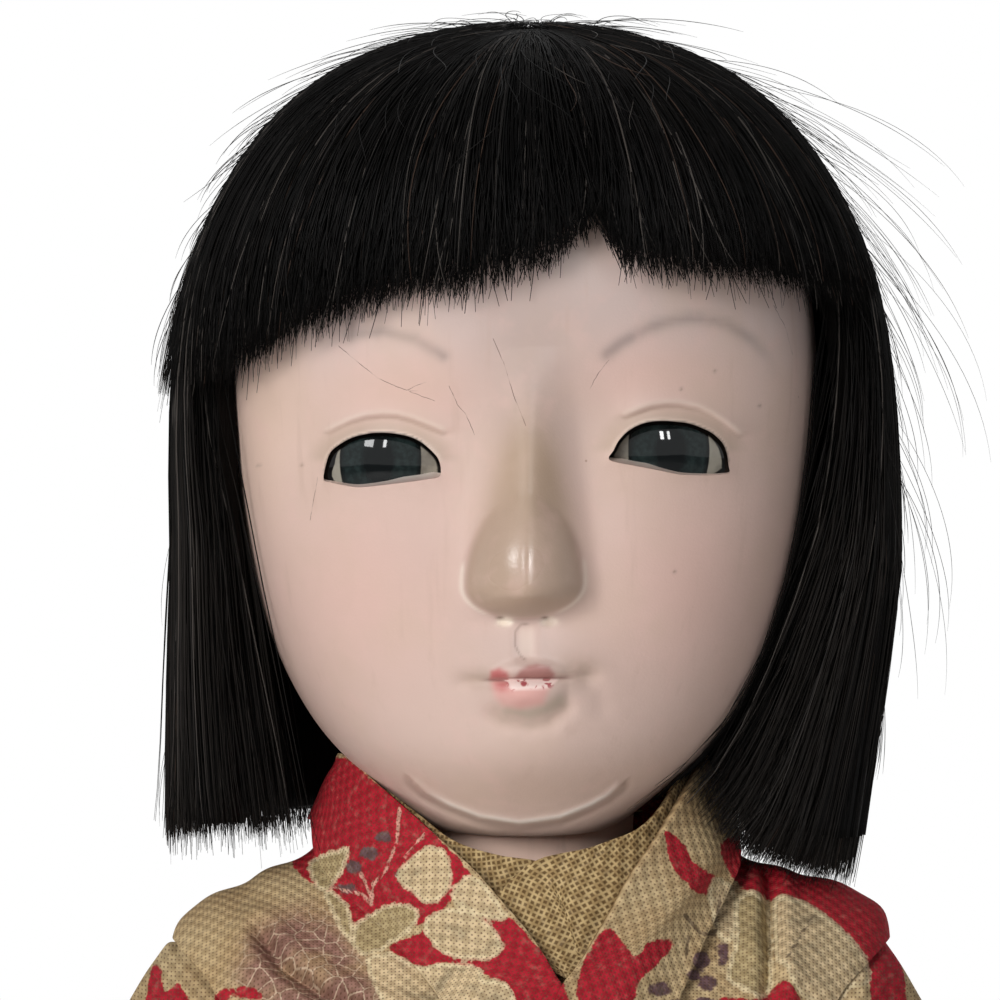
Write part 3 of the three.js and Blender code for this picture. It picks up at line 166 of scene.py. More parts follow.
def nose_shape(x, h):
    """How far the nose stands out: a ridge from the brow down to a broad round tip."""
    h = h - FACE_TILT * x
    rise = np.clip((h - NOSE_TIP_H) / (NOSE_ROOT_H - NOSE_TIP_H), 0, 1)
    reach, width = NOSE_REACH * (1 - rise) ** 0.8, 4.0 + 3.4 * (1 - rise)
    slant = 1 - (np.hypot(x - NOSE_RIDGE_X, 1.5) - 1.5) / width
    ridge = reach * ease(26.6, 30.5, h) * (slant + np.sqrt(slant ** 2 + 0.02)) / 2
    bulb_x, bulb_h, half, tall = NOSE_BULB
    below = np.where(h < bulb_h, tall, tall * NOSE_BULB_FADE)
    round_off = np.clip(1 - ((x - bulb_x) / half) ** 2 - ((h - bulb_h) / below) ** 2, 0, 1)
    bulb = NOSE_REACH * round_off ** 0.55
    return (ridge + bulb + np.sqrt((ridge - bulb) ** 2 + 4.0) - 2.0) / 2


def face_relief(x, h):
    """Everything else that is modelled in the coat, in millimetres proud of the plain head."""
    t = h - FACE_TILT * x
    relief = 1.3 * (mound(x, t, -19, 27, 12, 11) + mound(x, t, 19, 27, 12, 11))
    relief -= 0.7 * (mound(x, t, -9.0, 47.5, 4.6, 9) + mound(x, t, 9.0, 47.5, 4.6, 9))
    relief += 1.6 * mound(x, t, 0, 8.5, 11, 5)
    mx = x - MOUTH_X
    relief += 2.6 * mound(x, t, MOUTH_X, 19.0, 9.5, 7)
    upper = np.clip(1 - (np.abs(mx) / 5.6) ** 2.2, 0, 1)
    bow = MOUTH_H + 2.0 * upper - 0.4 * bell(mx, 0, 1.0)
    relief += 0.75 * upper * ease(-0.1, 0.9, t - MOUTH_H) * ease(1.0, -0.5, t - bow)
    lower = np.clip(1 - (np.abs(mx) / 5.0) ** 2.2, 0, 1)
    relief += 1.25 * lower * bell(t, MOUTH_H - 2.0, 1.75)
    relief -= 0.85 * np.exp(-((t - MOUTH_H) / 0.42) ** 2 - (mx / 6.6) ** 4)
    for corner in (-7.2, 8.2):
        relief -= 0.55 * mound(x, t, corner, MOUTH_H - 0.1, 1.6, 1.2)
    relief -= 0.7 * stroke(x, h, UNDER_LIP, 1.3)
    relief -= 0.2 * stroke(x, h, MOUTH_FOLD, 1.3)
    groove = ease(21.6, 22.6, t) * ease(26.9, 25.8, t)
    relief += groove * (0.10 * bell(np.abs(x - 0.2), 1.9, 0.8)
                        - 0.22 * np.exp(-(np.abs(x - 0.2) / 1.2) ** 4))
    for chip in (-2.5, 3.2):
        relief -= 0.7 * mound(x, h, chip, 26.9, 0.7, 0.4)
    crease, below = line_distance(x, h, CHIN_CREASE)
    relief += 0.4 * bell(crease, 0, 0.45)
    relief -= 0.7 * bell(crease, 1.0, 0.6) * ease(0, 0.3, below)
    for opening, _, fold, (eye_x, eye_h) in EYES.values():
        relief += 1.15 * mound(x, h, eye_x, eye_h, 10.5, 5.2)
        fold_x, fold_h = np.array(fold).T
        order = np.argsort(fold_x)
        over = h - np.interp(x, fold_x[order], fold_h[order])
        ends = ease(-1.5, 2.5, 8.2 - np.abs(x - fold_x.mean()))
        relief += ends * (0.55 * ease(-0.25, 0.3, over) * np.exp(-np.clip(over, 0, None) / 2.6)
                          - 0.25 * bell(over, -0.45, 0.35))
        edge = outline_distance(x, h, rounded(opening, 60).tolist())
        lid = ease(-2.0, -0.2, edge) * np.exp(-np.clip(edge, 0, None) / 0.9)
        relief += 0.35 * lid
    return relief


dense = through(HEAD_STATIONS, np.linspace(0, len(HEAD_STATIONS) - 1, 4000))


def head_front(x, h):
    """How far forward the plain head reaches at a point of the face."""
    half = np.interp(h, dense[:, 0], dense[:, 1])
    front = np.interp(h, dense[:, 0], dense[:, 2])
    return front * np.clip(1 - np.abs(x / half) ** HEAD_SQUARENESS, 0, 1) ** (1 / HEAD_SQUARENESS)


def face_y(x, h):
    return HEAD_Y - head_front(x, h) - nose_shape(x, h) - face_relief(x, h)


def together(*parts_of_points):
    """Points from their separate parts, each of which may be a row, a column or a whole grid."""
    return np.stack(np.broadcast_arrays(*parts_of_points), -1)


def grid_faces(rows, columns, closed=False):
    """Four-sided faces over a grid of points, joined up round the columns where it is closed."""
    across = columns if closed else columns - 1
    r, c = np.meshgrid(np.arange(rows - 1), np.arange(across), indexing="ij")
    right = (c + 1) % columns
    here, below = r * columns, (r + 1) * columns
    return together(here + c, here + right, below + right, below + c).reshape(-1, 4)


def skin(rings):
    """Points and faces of a solid skinned over closed rings, with a fan at each end."""
    rings = np.asarray(rings)
    count, sides = rings.shape[:2]
    points = np.vstack([rings.reshape(-1, 3), rings[0].mean(0), rings[-1].mean(0)])
    faces = grid_faces(count, sides, True).tolist()
    start, end, last = count*sides, count*sides + 1, (count - 1)*sides
    for i in range(sides):
        faces.append([start, (i + 1) % sides, i])
        faces.append([end, last + i, last + (i + 1) % sides])
    return points, faces


def mesh_piece(name, points, faces):
    """A smooth-shaded object from points in millimetres, with its faces turned outwards."""
    mesh = bpy.data.meshes.new(name)
    mesh.from_pydata((np.asarray(points) / 1000).tolist(), [], [[int(i) for i in face] for face in faces])
    work = bmesh.new()
    work.from_mesh(mesh)
    bmesh.ops.recalc_face_normals(work, faces=work.faces)
    work.to_mesh(mesh)
    work.free()
    mesh.shade_smooth()
    piece = bpy.data.objects.new(name, mesh)
    bpy.context.collection.objects.link(piece)
    return piece


def points_of(piece):
    """A piece's points, in millimetres."""
    flat = np.empty(len(piece.data.vertices) * 3)
    piece.data.vertices.foreach_get("co", flat)
    return flat.reshape(-1, 3) * 1000


def note(piece, name, values):
    """Keeps a value, a direction or a colour at every point of a piece for its material to read."""
    values = np.asarray(values, float)
    size = values.shape[1] if values.ndim > 1 else 1
    kind, field = {1: ("FLOAT", "value"), 3: ("FLOAT_VECTOR", "vector"), 4: ("FLOAT_COLOR", "color")}[size]
    layer = piece.data.attributes.new(name, kind, "POINT")
    layer.data.foreach_set(field, values.ravel())


def settle(piece):
    """Makes a piece's modifiers final."""
    graph = bpy.context.evaluated_depsgraph_get()
    mesh = bpy.data.meshes.new_from_object(piece.evaluated_get(graph))
    piece.modifiers.clear()
    piece.data = mesh


def carve(piece, cutter, way="DIFFERENCE"):
    """Cuts one solid with another, which is then thrown away."""
    cut = piece.modifiers.new("carve", "BOOLEAN")
    cut.operation = way
    cut.object = cutter
    cut.solver = "EXACT"
    settle(piece)
    bpy.data.objects.remove(cutter)


FINE_ROWS, HEAD_ROWS, MIDDLE_COLUMNS, SIDE_COLUMNS, BACK_COLUMNS = 3000, 300, 250, 22, 44
MIDDLE_SHARE = 0.86
profile = through(HEAD_STATIONS, np.linspace(0.02, len(HEAD_STATIONS) - 1.02, FINE_ROWS))
run = np.hypot(np.diff(profile[:, 0]), np.diff(profile[:, 2])) + np.abs(np.diff(profile[:, 0]))
run *= 1 + 2.4 * ease(-0.5, 2, profile[1:, 0]) * ease(66, 60, profile[1:, 0])
run = np.concatenate([[0], np.cumsum(run)])
fine = np.arange(FINE_ROWS)
head_rows = np.interp(np.linspace(0, run[-1], HEAD_ROWS), run, fine)
heights, halves, fronts, backs = (np.interp(head_rows, fine, profile[:, k]) for k in range(4))
middle = np.linspace(-MIDDLE_SHARE, MIDDLE_SHARE, MIDDLE_COLUMNS)
side = np.sin(np.linspace(math.asin(MIDDLE_SHARE), math.pi / 2, SIDE_COLUMNS))[1:]
front_share = np.concatenate([-side[::-1], middle, side])
back_share = np.cos(np.linspace(0, math.pi, BACK_COLUMNS))[1:-1]
share = np.concatenate([front_share, back_share])
is_front = np.concatenate([np.ones(len(front_share)), np.zeros(len(back_share))])
reach = np.clip(1 - np.abs(share) ** HEAD_SQUARENESS, 0, 1) ** (1 / HEAD_SQUARENESS)
head_x = halves[:, None] * share
head_h = np.repeat(heights[:, None], len(share), 1)
head_y = np.where(is_front > 0, -fronts[:, None], backs[:, None]) * reach
proud = (nose_shape(head_x, head_h) + face_relief(head_x, head_h)) * is_front * ease(0, 0.35, reach)
for _ in range(2):
    proud[1:-1, 1:-1] = (proud[1:-1, 1:-1] * 4 + proud[:-2, 1:-1] * 2 + proud[2:, 1:-1] * 2
                         + proud[1:-1, :-2] * 2 + proud[1:-1, 2:] * 2) / 12
head_rings = together(head_x, head_y - proud + HEAD_Y, head_h + CHIN_Z)
head = mesh_piece("head", *skin(head_rings))
for opening, lower_lid, _, _ in EYES.values():
    edge = rounded(opening, 110)
    lid_x, lid_h = np.array(lower_lid).T
    inner = np.column_stack([edge[:, 0], np.maximum(edge[:, 1], np.interp(edge[:, 0], lid_x, lid_h))])
    depth = face_y(edge[:, 0], edge[:, 1])
    rings = []
    for shape, back in ((edge, -7.0), (edge, 0.15), (inner, 1.9), (inner, 9.0)):
        rings.append(np.column_stack([shape[:, 0], depth + back, shape[:, 1] + CHIN_Z]))
    carve(head, mesh_piece("eye_cutter", *skin(rings)))
head.data.set_sharp_from_angle(angle=math.radians(42))


def tint(red, green, blue):
    """A paint colour from its three 0 to 255 values, as light."""
    values = np.array([red, green, blue]) / 255
    light = np.where(values <= 0.04045, values / 12.92, ((values + 0.055) / 1.055) ** 2.4)
    return (*light.tolist(), 1.0)


AGED_WHITE = tint(214, 187, 175)
FOREHEAD_GREY = tint(210, 189, 183)
GREY_PAINTED_SHADE = tint(186, 165, 157)
TEMPLE_PAINTED_LIGHT = tint(232, 200, 180)
BLUSH = tint(216, 179, 167)
RUBBED_TAN = tint(174, 149, 128)
PALE_PAINT_AND_HIGHLIGHT = tint(228, 210, 196)
BROW_GREY = tint(122, 110, 106)
LID_OLIVE = tint(180, 157, 139)
LOWER_RIM_PALE_AND_LIT = tint(252, 240, 230)
PAINTED_LID_SHADOW = tint(30, 18, 15)
LIP_RED = tint(184, 86, 86)
LIP_BROWN = tint(164, 106, 100)
LIP_ROLL_PAINTED_SHADE = tint(186, 170, 152)
LIP_PINK = tint(222, 166, 158)
LIP_LINE = tint(92, 48, 42)
MOUTH_PAINTED_SHADE = tint(160, 138, 118)
DUST_AND_SHADE_BROWN = tint(112, 82, 66)
CHIP_PALE = tint(236, 222, 206)
CREASE_HIGHLIGHT = tint(244, 232, 222)
RIGHT_BROW = [(-27.5, 59.2), (-25.1, 61.2), (-22.1, 62.6), (-17.5, 63.1), (-13.4, 62.1), (-10.0, 60.0)]
LEFT_BROW = [(10.4, 60.2), (12.2, 61.6), (15.6, 63.5), (19.0, 64.6), (21.9, 64.9), (25.8, 64.1), (29.1, 62.1),
             (31.4, 59.9), (32.5, 57.6)]
UPPER_LIP_LOBES = [
    [(-4.1, 19.6), (-4.0, 20.6), (-3.0, 21.0), (-2.0, 20.5), (-1.8, 19.6)],
    [(-1.1, 19.6), (-0.4, 20.7), (0.6, 21.3), (1.7, 21.5), (3.2, 21.2), (3.9, 20.3), (3.7, 19.6)],
]
LIP_ROLL = [(-2.0, 15.6), (0.6, 15.2), (3.0, 15.9), (4.6, 17.0)]
CHIPPED_LIP = [(-2.2, 19.5), (4.2, 19.5), (3.4, 18.6), (-1.4, 18.3)]
PHILTRUM = [(1.1, 26.6), (-0.33, 26.4), (-0.98, 25.6), (-1.05, 23.9), (-0.33, 22.5), (0.25, 22.05)]
LOWER_LIP = [(-3.8, 19.4), (-3.4, 17.4), (-2.5, 16.4), (-0.4, 16.0), (2.4, 16.6), (3.0, 18.0), (3.6, 19.4)]
HAIR_CRACKS = [
    [(-22.9, 61.1), (-20.4, 59.0), (-18.1, 57.2), (-15.9, 56.2), (-13.0, 55.1), (-11.4, 54.5)],
    [(-9.1, 55.9), (-8.2, 53.9), (-7.1, 52.6), (-6.2, 50.5)],
    [(-3.6, 61.8), (-2.4, 59.0), (-1.2, 55.0), (0.2, 51.6)],
    [(-25.9, 44.6), (-26.4, 41.9), (-26.8, 39.8)],
    [(10.5, 59.2), (9.4, 57.9), (8.5, 56.2)],
    [(31.9, 66.4), (33.4, 63.8), (34.2, 60.8)],
    [(-14.5, 55.7), (-13.4, 56.3), (-12.5, 56.6)],
]
SPECKS = [(6.6, 65.0), (24.1, 58.2), (19.8, 55.9), (29.9, 53.9), (-27.9, 46.4), (-33.6, 46.4), (19.0, 33.0)]

place = points_of(head)
px, ph = place[:, 0], place[:, 2] - CHIN_Z
pt = ph - FACE_TILT * px
on_face = ease(2, -6, place[:, 1])
paint = np.tile(AGED_WHITE, (len(place), 1))


def brush(colour, cover):
    """Lays a colour over the paint, as thickly as the cover says."""
    cover = (np.clip(cover, 0, 1) * on_face)[:, None]
    paint[:] = paint * (1 - cover) + np.array(colour) * cover


brush(FOREHEAD_GREY, 0.8 * ease(54, 66, ph))
# Painted shade: greyer paint between the brows, over the left side of the forehead, under the nose and on the
# right cheek.
brush(GREY_PAINTED_SHADE, 0.9 * mound(px, pt, 1, 61, 9, 14) + 0.45 * mound(px, pt, 20, 67, 13, 8))
brush(GREY_PAINTED_SHADE, 0.5 * mound(px, pt, 0, 24, 11, 6) + 0.45 * mound(px, pt, -15, 34, 7, 8))
# Painted light: a paler yellow streak down the right temple, on the side that faces the lamp.
brush(TEMPLE_PAINTED_LIGHT, 0.6 * mound(px, pt, -33, 52, 5, 14))
brush(BLUSH, 0.75 * (mound(px, pt, -20, 31, 13, 13) + mound(px, pt, 20, 31, 13, 13)))
brush(BLUSH, 0.7 * (mound(px, pt, -15, 56, 9, 5) + mound(px, pt, 16, 57, 10, 5)))
nose = nose_shape(px, ph)
brush(RUBBED_TAN, 0.85 * ease(0.4, 3.2, nose) * ease(58, 44, pt) + 0.35 * mound(px, pt, 0.5, 50, 3.8, 9))
brush(RUBBED_TAN, 0.35 * mound(px, pt, 0, 6, 14, 5))
bulb_x, bulb_h, half, tall = NOSE_BULB
rim_tall = np.where(pt < bulb_h, 1, NOSE_BULB_FADE) * tall
rim = ((px - bulb_x) / half) ** 2 + ((pt - bulb_h) / rim_tall) ** 2
nose_edge = bell(np.sqrt(rim), 1.03, 0.04) * ease(3.5, 5.2, np.abs(px)) * ease(35, 33.5, pt)
# Pale paint round the edges of the nose wings.
brush(PALE_PAINT_AND_HIGHLIGHT, 0.95 * nose_edge)
brush(BROW_GREY, 0.50 * stroke(px, ph, RIGHT_BROW, 0.75) * ease(-28, -18, px))
brush(BROW_GREY, 0.55 * stroke(px, ph, LEFT_BROW, 0.85) * ease(33.5, 27, px))
for opening, _, fold, (eye_x, eye_h) in EYES.values():
    edge = outline_distance(px, ph, rounded(opening, 60).tolist())
    fold_away, _ = line_distance(px, ph, fold)
    fold_x, fold_h = np.array(fold).T
    under_fold = np.interp(px, fold_x, fold_h) - ph
    upper = ease(-0.6, 0.6, ph - eye_h)
    brush(LID_OLIVE, 0.7 * upper * ease(3.2, 0.4, edge) * ease(-0.2, 0.3, under_fold))
    # Painted highlights: a pale line along each upper lid's edge and along the top of each fold; painted
    # shade: a dark line just under each fold.
    brush(PALE_PAINT_AND_HIGHLIGHT, 0.55 * upper * bell(edge, 0.22, 0.2))
    brush(PALE_PAINT_AND_HIGHLIGHT, 0.45 * bell(fold_away, 0.35, 0.3) * ease(0.1, -0.2, under_fold))
    brush(DUST_AND_SHADE_BROWN, 0.30 * bell(under_fold, 0.35, 0.3) * ease(1.0, 0.3, fold_away))
    within = (edge < 0.2) & (place[:, 1] > face_y(px, ph) + 0.3)
    lower_wall = within & (ph < eye_h - 0.8)
    # A pale rim on the lower wall of each opening, painted much lighter still as painted light.
    brush(LOWER_RIM_PALE_AND_LIT, 0.95 * lower_wall)
    # Painted shadow: the upper wall of each opening and a band along its upper edge, widening towards the
    # outer corner, are painted near black.
    brush(PAINTED_LID_SHADOW, 0.97 * (within & ~lower_wall))
    outer = np.sign(eye_x) * (px - eye_x)
    brush(PAINTED_LID_SHADOW, 0.9 * ease(0.18, 0.02, np.abs(edge)) * ease(-0.5, 0.6, ph - eye_h + 0.25 * outer - 0.3))
mouth_away = np.abs(pt - MOUTH_H)
mx = px - MOUTH_X
# Painted shade: darker tan at the mouth's corners and along the groove under the lower lip.
corners = mound(px, pt, -5.6, MOUTH_H + 0.2, 2.4, 1.3) + mound(px, pt, 7.0, MOUTH_H + 0.8, 2.8, 2.0)
brush(MOUTH_PAINTED_SHADE, 0.5 * corners)
brush(MOUTH_PAINTED_SHADE, 0.4 * stroke(px, ph, UNDER_LIP, 0.9))
for lobe, colour in zip(UPPER_LIP_LOBES, (LIP_RED, LIP_BROWN)):
    brush(colour, 0.85 * ease(0.45, -0.35, outline_distance(px, ph, lobe)))
# Painted shade: a greyer band along the roll of the lower lip.
brush(LIP_ROLL_PAINTED_SHADE, 0.75 * stroke(px, ph, LIP_ROLL, 0.75))
brush(LIP_PINK, 0.85 * ease(0.7, -0.5, outline_distance(px, ph, LOWER_LIP)))
brush(LIP_RED, 0.8 * mound(px, ph, -2.7, 18.8, 1.0, 0.75))
brush(LIP_LINE, 0.75 * bell(mouth_away, 0, 0.2) * ease(6.6, 4.0, np.abs(mx)))
brush(PALE_PAINT_AND_HIGHLIGHT, 0.45 * np.exp(-((px - 0.35) / 0.95) ** 4 - ((pt - 24.4) / 2.0) ** 4))
brush(DUST_AND_SHADE_BROWN, 0.45 * stroke(px, ph, PHILTRUM, 0.13) * ease(1.1, 0.2, px))
for chip in (-2.3, 3.3):
    brush(CHIP_PALE, 2.4 * mound(px, ph, chip, 26.8, 0.85, 0.5))
    # A dark spot beside each pale nostril chip.
    brush(DUST_AND_SHADE_BROWN, 0.9 * mound(px, ph, chip - 0.6, 27.3, 0.45, 0.22))
crease, below = line_distance(px, ph, CHIN_CREASE)
# Painted highlight: a pale line along the ridge of the chin crease, with painted shade in the groove below
# it.
brush(CREASE_HIGHLIGHT, 0.9 * bell(crease, 0, 0.28) * ease(13, 9, np.abs(px)))
brush(DUST_AND_SHADE_BROWN, 0.30 * bell(crease, 0.9, 0.6) * ease(0, 0.3, below))
for speck_x, speck_h in SPECKS:
    brush(DUST_AND_SHADE_BROWN, 0.6 * mound(px, ph, speck_x, speck_h, 0.22, 0.22))
nearest = np.full(len(place), 9.0)
crossing = np.zeros(len(place))
for crack in HAIR_CRACKS:
    away, signed = line_distance(px, ph, crack)
    crossing = np.where(away < nearest, signed, crossing)
    nearest = np.minimum(nearest, away)
note(head, "paint", paint)
note(head, "polish", mound(px, pt, 0, 34.2, 6.5, 5.0) * on_face)
note(head, "crack_side", crossing)
note(head, "crack_away", np.where(place[:, 1] < 0, nearest, 9.0))
note(head, "chipped", ease(0.3, -0.2, outline_distance(px, ph, CHIPPED_LIP)) * on_face)


def finish_of(name):
    """A new material, with its tree and its surface shader."""
    material = bpy.data.materials.new(name)
    material.use_nodes = True
    return material, material.node_tree, material.node_tree.nodes["Principled BSDF"]


def feed(node, inputs):
    """Joins or fills a node's inputs."""
    for key, value in inputs.items():
        if isinstance(value, bpy.types.NodeSocket):
            node.id_data.links.new(value, node.inputs[key])
        else:
            node.inputs[key].default_value = value


def put(tree, kind, inputs, **settings):
    """Adds a node, sets it up and feeds it."""
    made = tree.nodes.new("ShaderNode" + kind)
    for key, value in settings.items():
        setattr(made, key, value)
    feed(made, inputs)
    return made


def reading(tree, name, field="Fac"):
    return put(tree, "Attribute", {}, attribute_name=name).outputs[field]


def place_on(tree):
    return put(tree, "TexCoord", {}).outputs["Object"]


def tree_of(*values):
    """The material's tree that values belong to, some of which may be plain numbers."""
    return next(value.id_data for value in values if isinstance(value, bpy.types.NodeSocket))


def calc(way, first, second=0.0, third=0.0):
    return put(tree_of(first, second), "Math", {0: first, 1: second, 2: third}, operation=way).outputs[0]


def times(first, second):
    return calc("MULTIPLY", first, second)


def plus(first, second):
    return calc("ADD", first, second)


def less(first, second):
    return calc("SUBTRACT", first, second)


def span(value, low, high, to_low=0.0, to_high=1.0):
    """Stretches a range of values to another, smoothly and held at both ends."""
    inputs = {"Value": value, "From Min": low, "From Max": high, "To Min": to_low, "To Max": to_high}
    return put(tree_of(value), "MapRange", inputs, interpolation_type="SMOOTHSTEP").outputs["Result"]


def moved(way, *vectors):
    """A sum of places."""
    return put(tree_of(*vectors), "VectorMath", dict(enumerate(vectors)), operation=way).outputs


def scaled(where, scale):
    return put(tree_of(where), "Mapping", {"Vector": where, "Scale": scale}).outputs[0]


def parts(value, kind="XYZ"):
    """The three parts of a place or a colour."""
    return put(tree_of(value), "Separate" + kind, {0: value}).outputs


def cells(where, scale, spread=1.0, **settings):
    """Cells scattered over a surface, so many to the metre."""
    inputs = {"Vector": where, "Scale": scale, "Randomness": spread}
    return put(tree_of(where), "TexVoronoi", inputs, **settings).outputs


def mottle(where, size, detail=3.0):
    """Cloudy noise whose patches are about so many millimetres across."""
    inputs = {"Vector": where, "Scale": 1000 / size, "Detail": detail, "Roughness": 0.55}
    return put(tree_of(where), "TexNoise", inputs).outputs["Fac"]


def over(cover, under, colour, way="MIX"):
    """One colour over another."""
    made = put(tree_of(cover), "Mix", {}, data_type="RGBA", blend_type=way, clamp_factor=True)
    feed(made, {0: cover, 6: under, 7: colour})
    return made.outputs[2]


def raised(shader, height, millimetres, strength=1.0):
    """Gives a surface its fine relief."""
    inputs = {"Height": height, "Distance": millimetres / 1000, "Strength": strength}
    feed(shader, {"Normal": put(shader.id_data, "Bump", inputs).outputs["Normal"]})


def gofun(name, base=None, gloss=0.44):
    """Polished shell white: mottled, streaked and speckled, with the cracks and chips noted on it."""
    material, tree, shader = finish_of(name)
    where = place_on(tree)
    cloud = mottle(where, 14)
    colour = reading(tree, "paint", "Color") if base is None else base
    colour = over(span(cloud, 0.42, 0.72, 0, 0.38), colour, tint(205, 178, 160))
    colour = over(span(mottle(where, 5), 0.5, 0.75, 0, 0.25), colour, tint(222, 186, 176))
    streak = span(mottle(scaled(where, (1, 1, 0.12)), 2.5), 0.58, 0.75, 0, 0.22)
    colour = over(streak, colour, tint(188, 158, 142))
    dots = cells(where, 110.0)
    rare = span(parts(dots["Color"], "Color")[0], 0.55, 1.0)
    dot = span(less(dots["Distance"], times(rare, 0.035)), 0.0, -0.012)
    colour = over(times(dot, 0.6), colour, tint(150, 116, 98))
    height = plus(times(mottle(where, 1.3), 0.35), mottle(where, 0.35))
    if base is None:
        wander = times(less(mottle(where, 0.9), 0.5), 0.22)
        across = calc("ABSOLUTE", plus(reading(tree, "crack_side"), wander))
        line = times(span(across, 0.055, 0.015), span(reading(tree, "crack_away"), 0.5, 0.3))
        line = times(line, span(mottle(where, 2.2), 0.35, 0.6, 0.15, 0.8))
        colour = over(line, colour, tint(92, 66, 58))
        chipped = reading(tree, "chipped")
        flakes = cells(where, 900.0, feature="F2")["Distance"]
        colour = over(times(chipped, span(flakes, 0.54, 0.64)), colour, tint(240, 214, 206))
        colour = over(times(times(chipped, span(flakes, 0.60, 0.50)), 0.85), colour, tint(160, 50, 64))
        height = less(height, times(line, 2.0))
    dull = span(cloud, 0.3, 0.7, gloss - 0.04, gloss + 0.08)
    dull = less(dull, times(reading(tree, "polish"), 0.24))
    feed(shader, {"Base Color": colour, "Roughness": dull, "Specular IOR Level": 0.35})
    raised(shader, height, 0.02)
    return material


def fasten(piece, material, slot, body, *nodes):
    """Gives a piece its finish and fixes it to the body that carries it, in place of its plain solids."""
    piece.data.materials.append(material)
    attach(piece, body)
    if nodes:
        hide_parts(*nodes)


fasten(head, gofun("gofun_face"), "gofun", "head", "face_shell", "back_head_shell")

# The eyes: blown glass, dark irises with a narrow rim of white, set behind the lids from inside. The white is
# painted greyed, partly as painted shade from the lids, and the glass is painted near black under each upper
# lid as painted shadow.
# Each is a flattened ball turned a little outwards with the face.
# A pad of plaster holds it in the hollow head.
EYE_HALF_WIDTH, EYE_HALF_HEIGHT, EYE_DEPTH = 12.2, 10.2, 8.6
EYE_INSET = 1.25
IRIS_RADIUS = 5.25
EYE_GLASS, tree, shader = finish_of("eye_glass")
where = place_on(tree)
out = reading(tree, "from_middle")
iris = over(span(mottle(where, 0.7), 0.35, 0.7, 0, 0.6), tint(20, 28, 28), tint(40, 52, 51))
iris = over(span(out, 2.6, 1.6), iris, tint(11, 15, 16))
iris = over(span(out, IRIS_RADIUS - 0.8, IRIS_RADIUS), iris, tint(10, 13, 13))
# The white is greyed, partly as painted shade from the lids.
white = over(span(mottle(where, 2.5), 0.4, 0.7), tint(146, 140, 128), tint(118, 112, 102))
colour = over(span(out, IRIS_RADIUS - 0.05, IRIS_RADIUS + 0.12), iris, white)
# Painted shadow: the glass goes near black close under the upper lid.
colour = over(span(reading(tree, "glass_lid_shadow"), 0.12, -0.12), colour, tint(8, 6, 5))
feed(shader, {"Base Color": colour, "Roughness": 0.05, "IOR": 1.33})
for label, (opening, _, _, (eye_x, eye_h)) in EYES.items():
    step = 0.5
    slope = (head_front(eye_x + step, eye_h) - head_front(eye_x - step, eye_h)) / (2 * step)
    turn = 0.55 * math.atan(slope)
    ahead = np.array([-math.sin(turn), -math.cos(turn), 0])
    across = np.array([math.cos(turn), -math.sin(turn), 0])
    pole = np.array([eye_x, HEAD_Y - float(head_front(eye_x, eye_h)) - 1.15 + EYE_INSET, eye_h + CHIN_Z])
    centre = pole - ahead * EYE_DEPTH
    lean = np.linspace(0.01, math.pi - 0.01, 60)[:, None]
    round_angle = once_round(72)[None, :]
    u = EYE_HALF_WIDTH * np.sin(lean) * np.cos(round_angle)
    v = EYE_HALF_HEIGHT * np.sin(lean) * np.sin(round_angle)
    from_middle = np.hypot(u, 0.62 * v) + 40 * (lean > math.pi / 2)
    bulge = 0.35 * ease(IRIS_RADIUS + 0.6, 0, from_middle)
    w = EYE_DEPTH * np.cos(lean) * np.ones_like(u) + bulge
    rings = centre + u[..., None] * across + v[..., None] * np.array([0, 0, 1]) + w[..., None] * ahead
    eye = mesh_piece(f"{label}_glass_eye", *skin(rings))
    note(eye, "from_middle", np.concatenate([from_middle.ravel(), [0, 50]]))
    x, _, z = points_of(eye).T
    edge = outline_distance(x, z - CHIN_Z, rounded(opening, 60).tolist())
    outer = np.sign(eye_x) * (x - eye_x)
    lower = ease(-0.4, -1.6, z - CHIN_Z - eye_h)
    # How far the painted shadow reaches under the lid, widest at the outer corner of the right eye.
    gap = 0.45 + 0.15 * ease(2, 6, outer) + (2.0 if label == "right" else 0.3) * ease(5.0, 6.9, outer)
    note(eye, "glass_lid_shadow", -edge - gap * (1 - 0.75 * lower * ease(6.5, 5.5, np.abs(outer))))
    fasten(eye, EYE_GLASS, "eye_glass", "head", f"{label}_eye")

# The neck: turned from wood and coated like the face, standing on the peg that carries the head.
# Its coat is painted much paler and pinker than the face, as painted light against the shade under the chin.
NECK_Y = 2.0
NECK_PROFILE = [(13.2, 330.0), (14.4, 328.5), (14.5, 322.0), (14.4, 316.0), (14.7, 310.5), (15.3, 307.0),
                (16.0, 304.3)]
NECK_ROWS, NECK_SIDES = 40, 64
radius, height = np.hsplit(through(NECK_PROFILE, np.linspace(0, len(NECK_PROFILE) - 1, NECK_ROWS)), 2)
angle = once_round(NECK_SIDES)
neck_rings = together(radius * np.cos(angle), NECK_Y + radius * np.sin(angle),
                      np.repeat(height, NECK_SIDES, 1))
neck = mesh_piece("turned_neck", *skin(neck_rings))
fasten(neck, gofun("gofun_neck_painted_light", tint(252, 218, 200), 0.45), "gofun", "head", "neck")

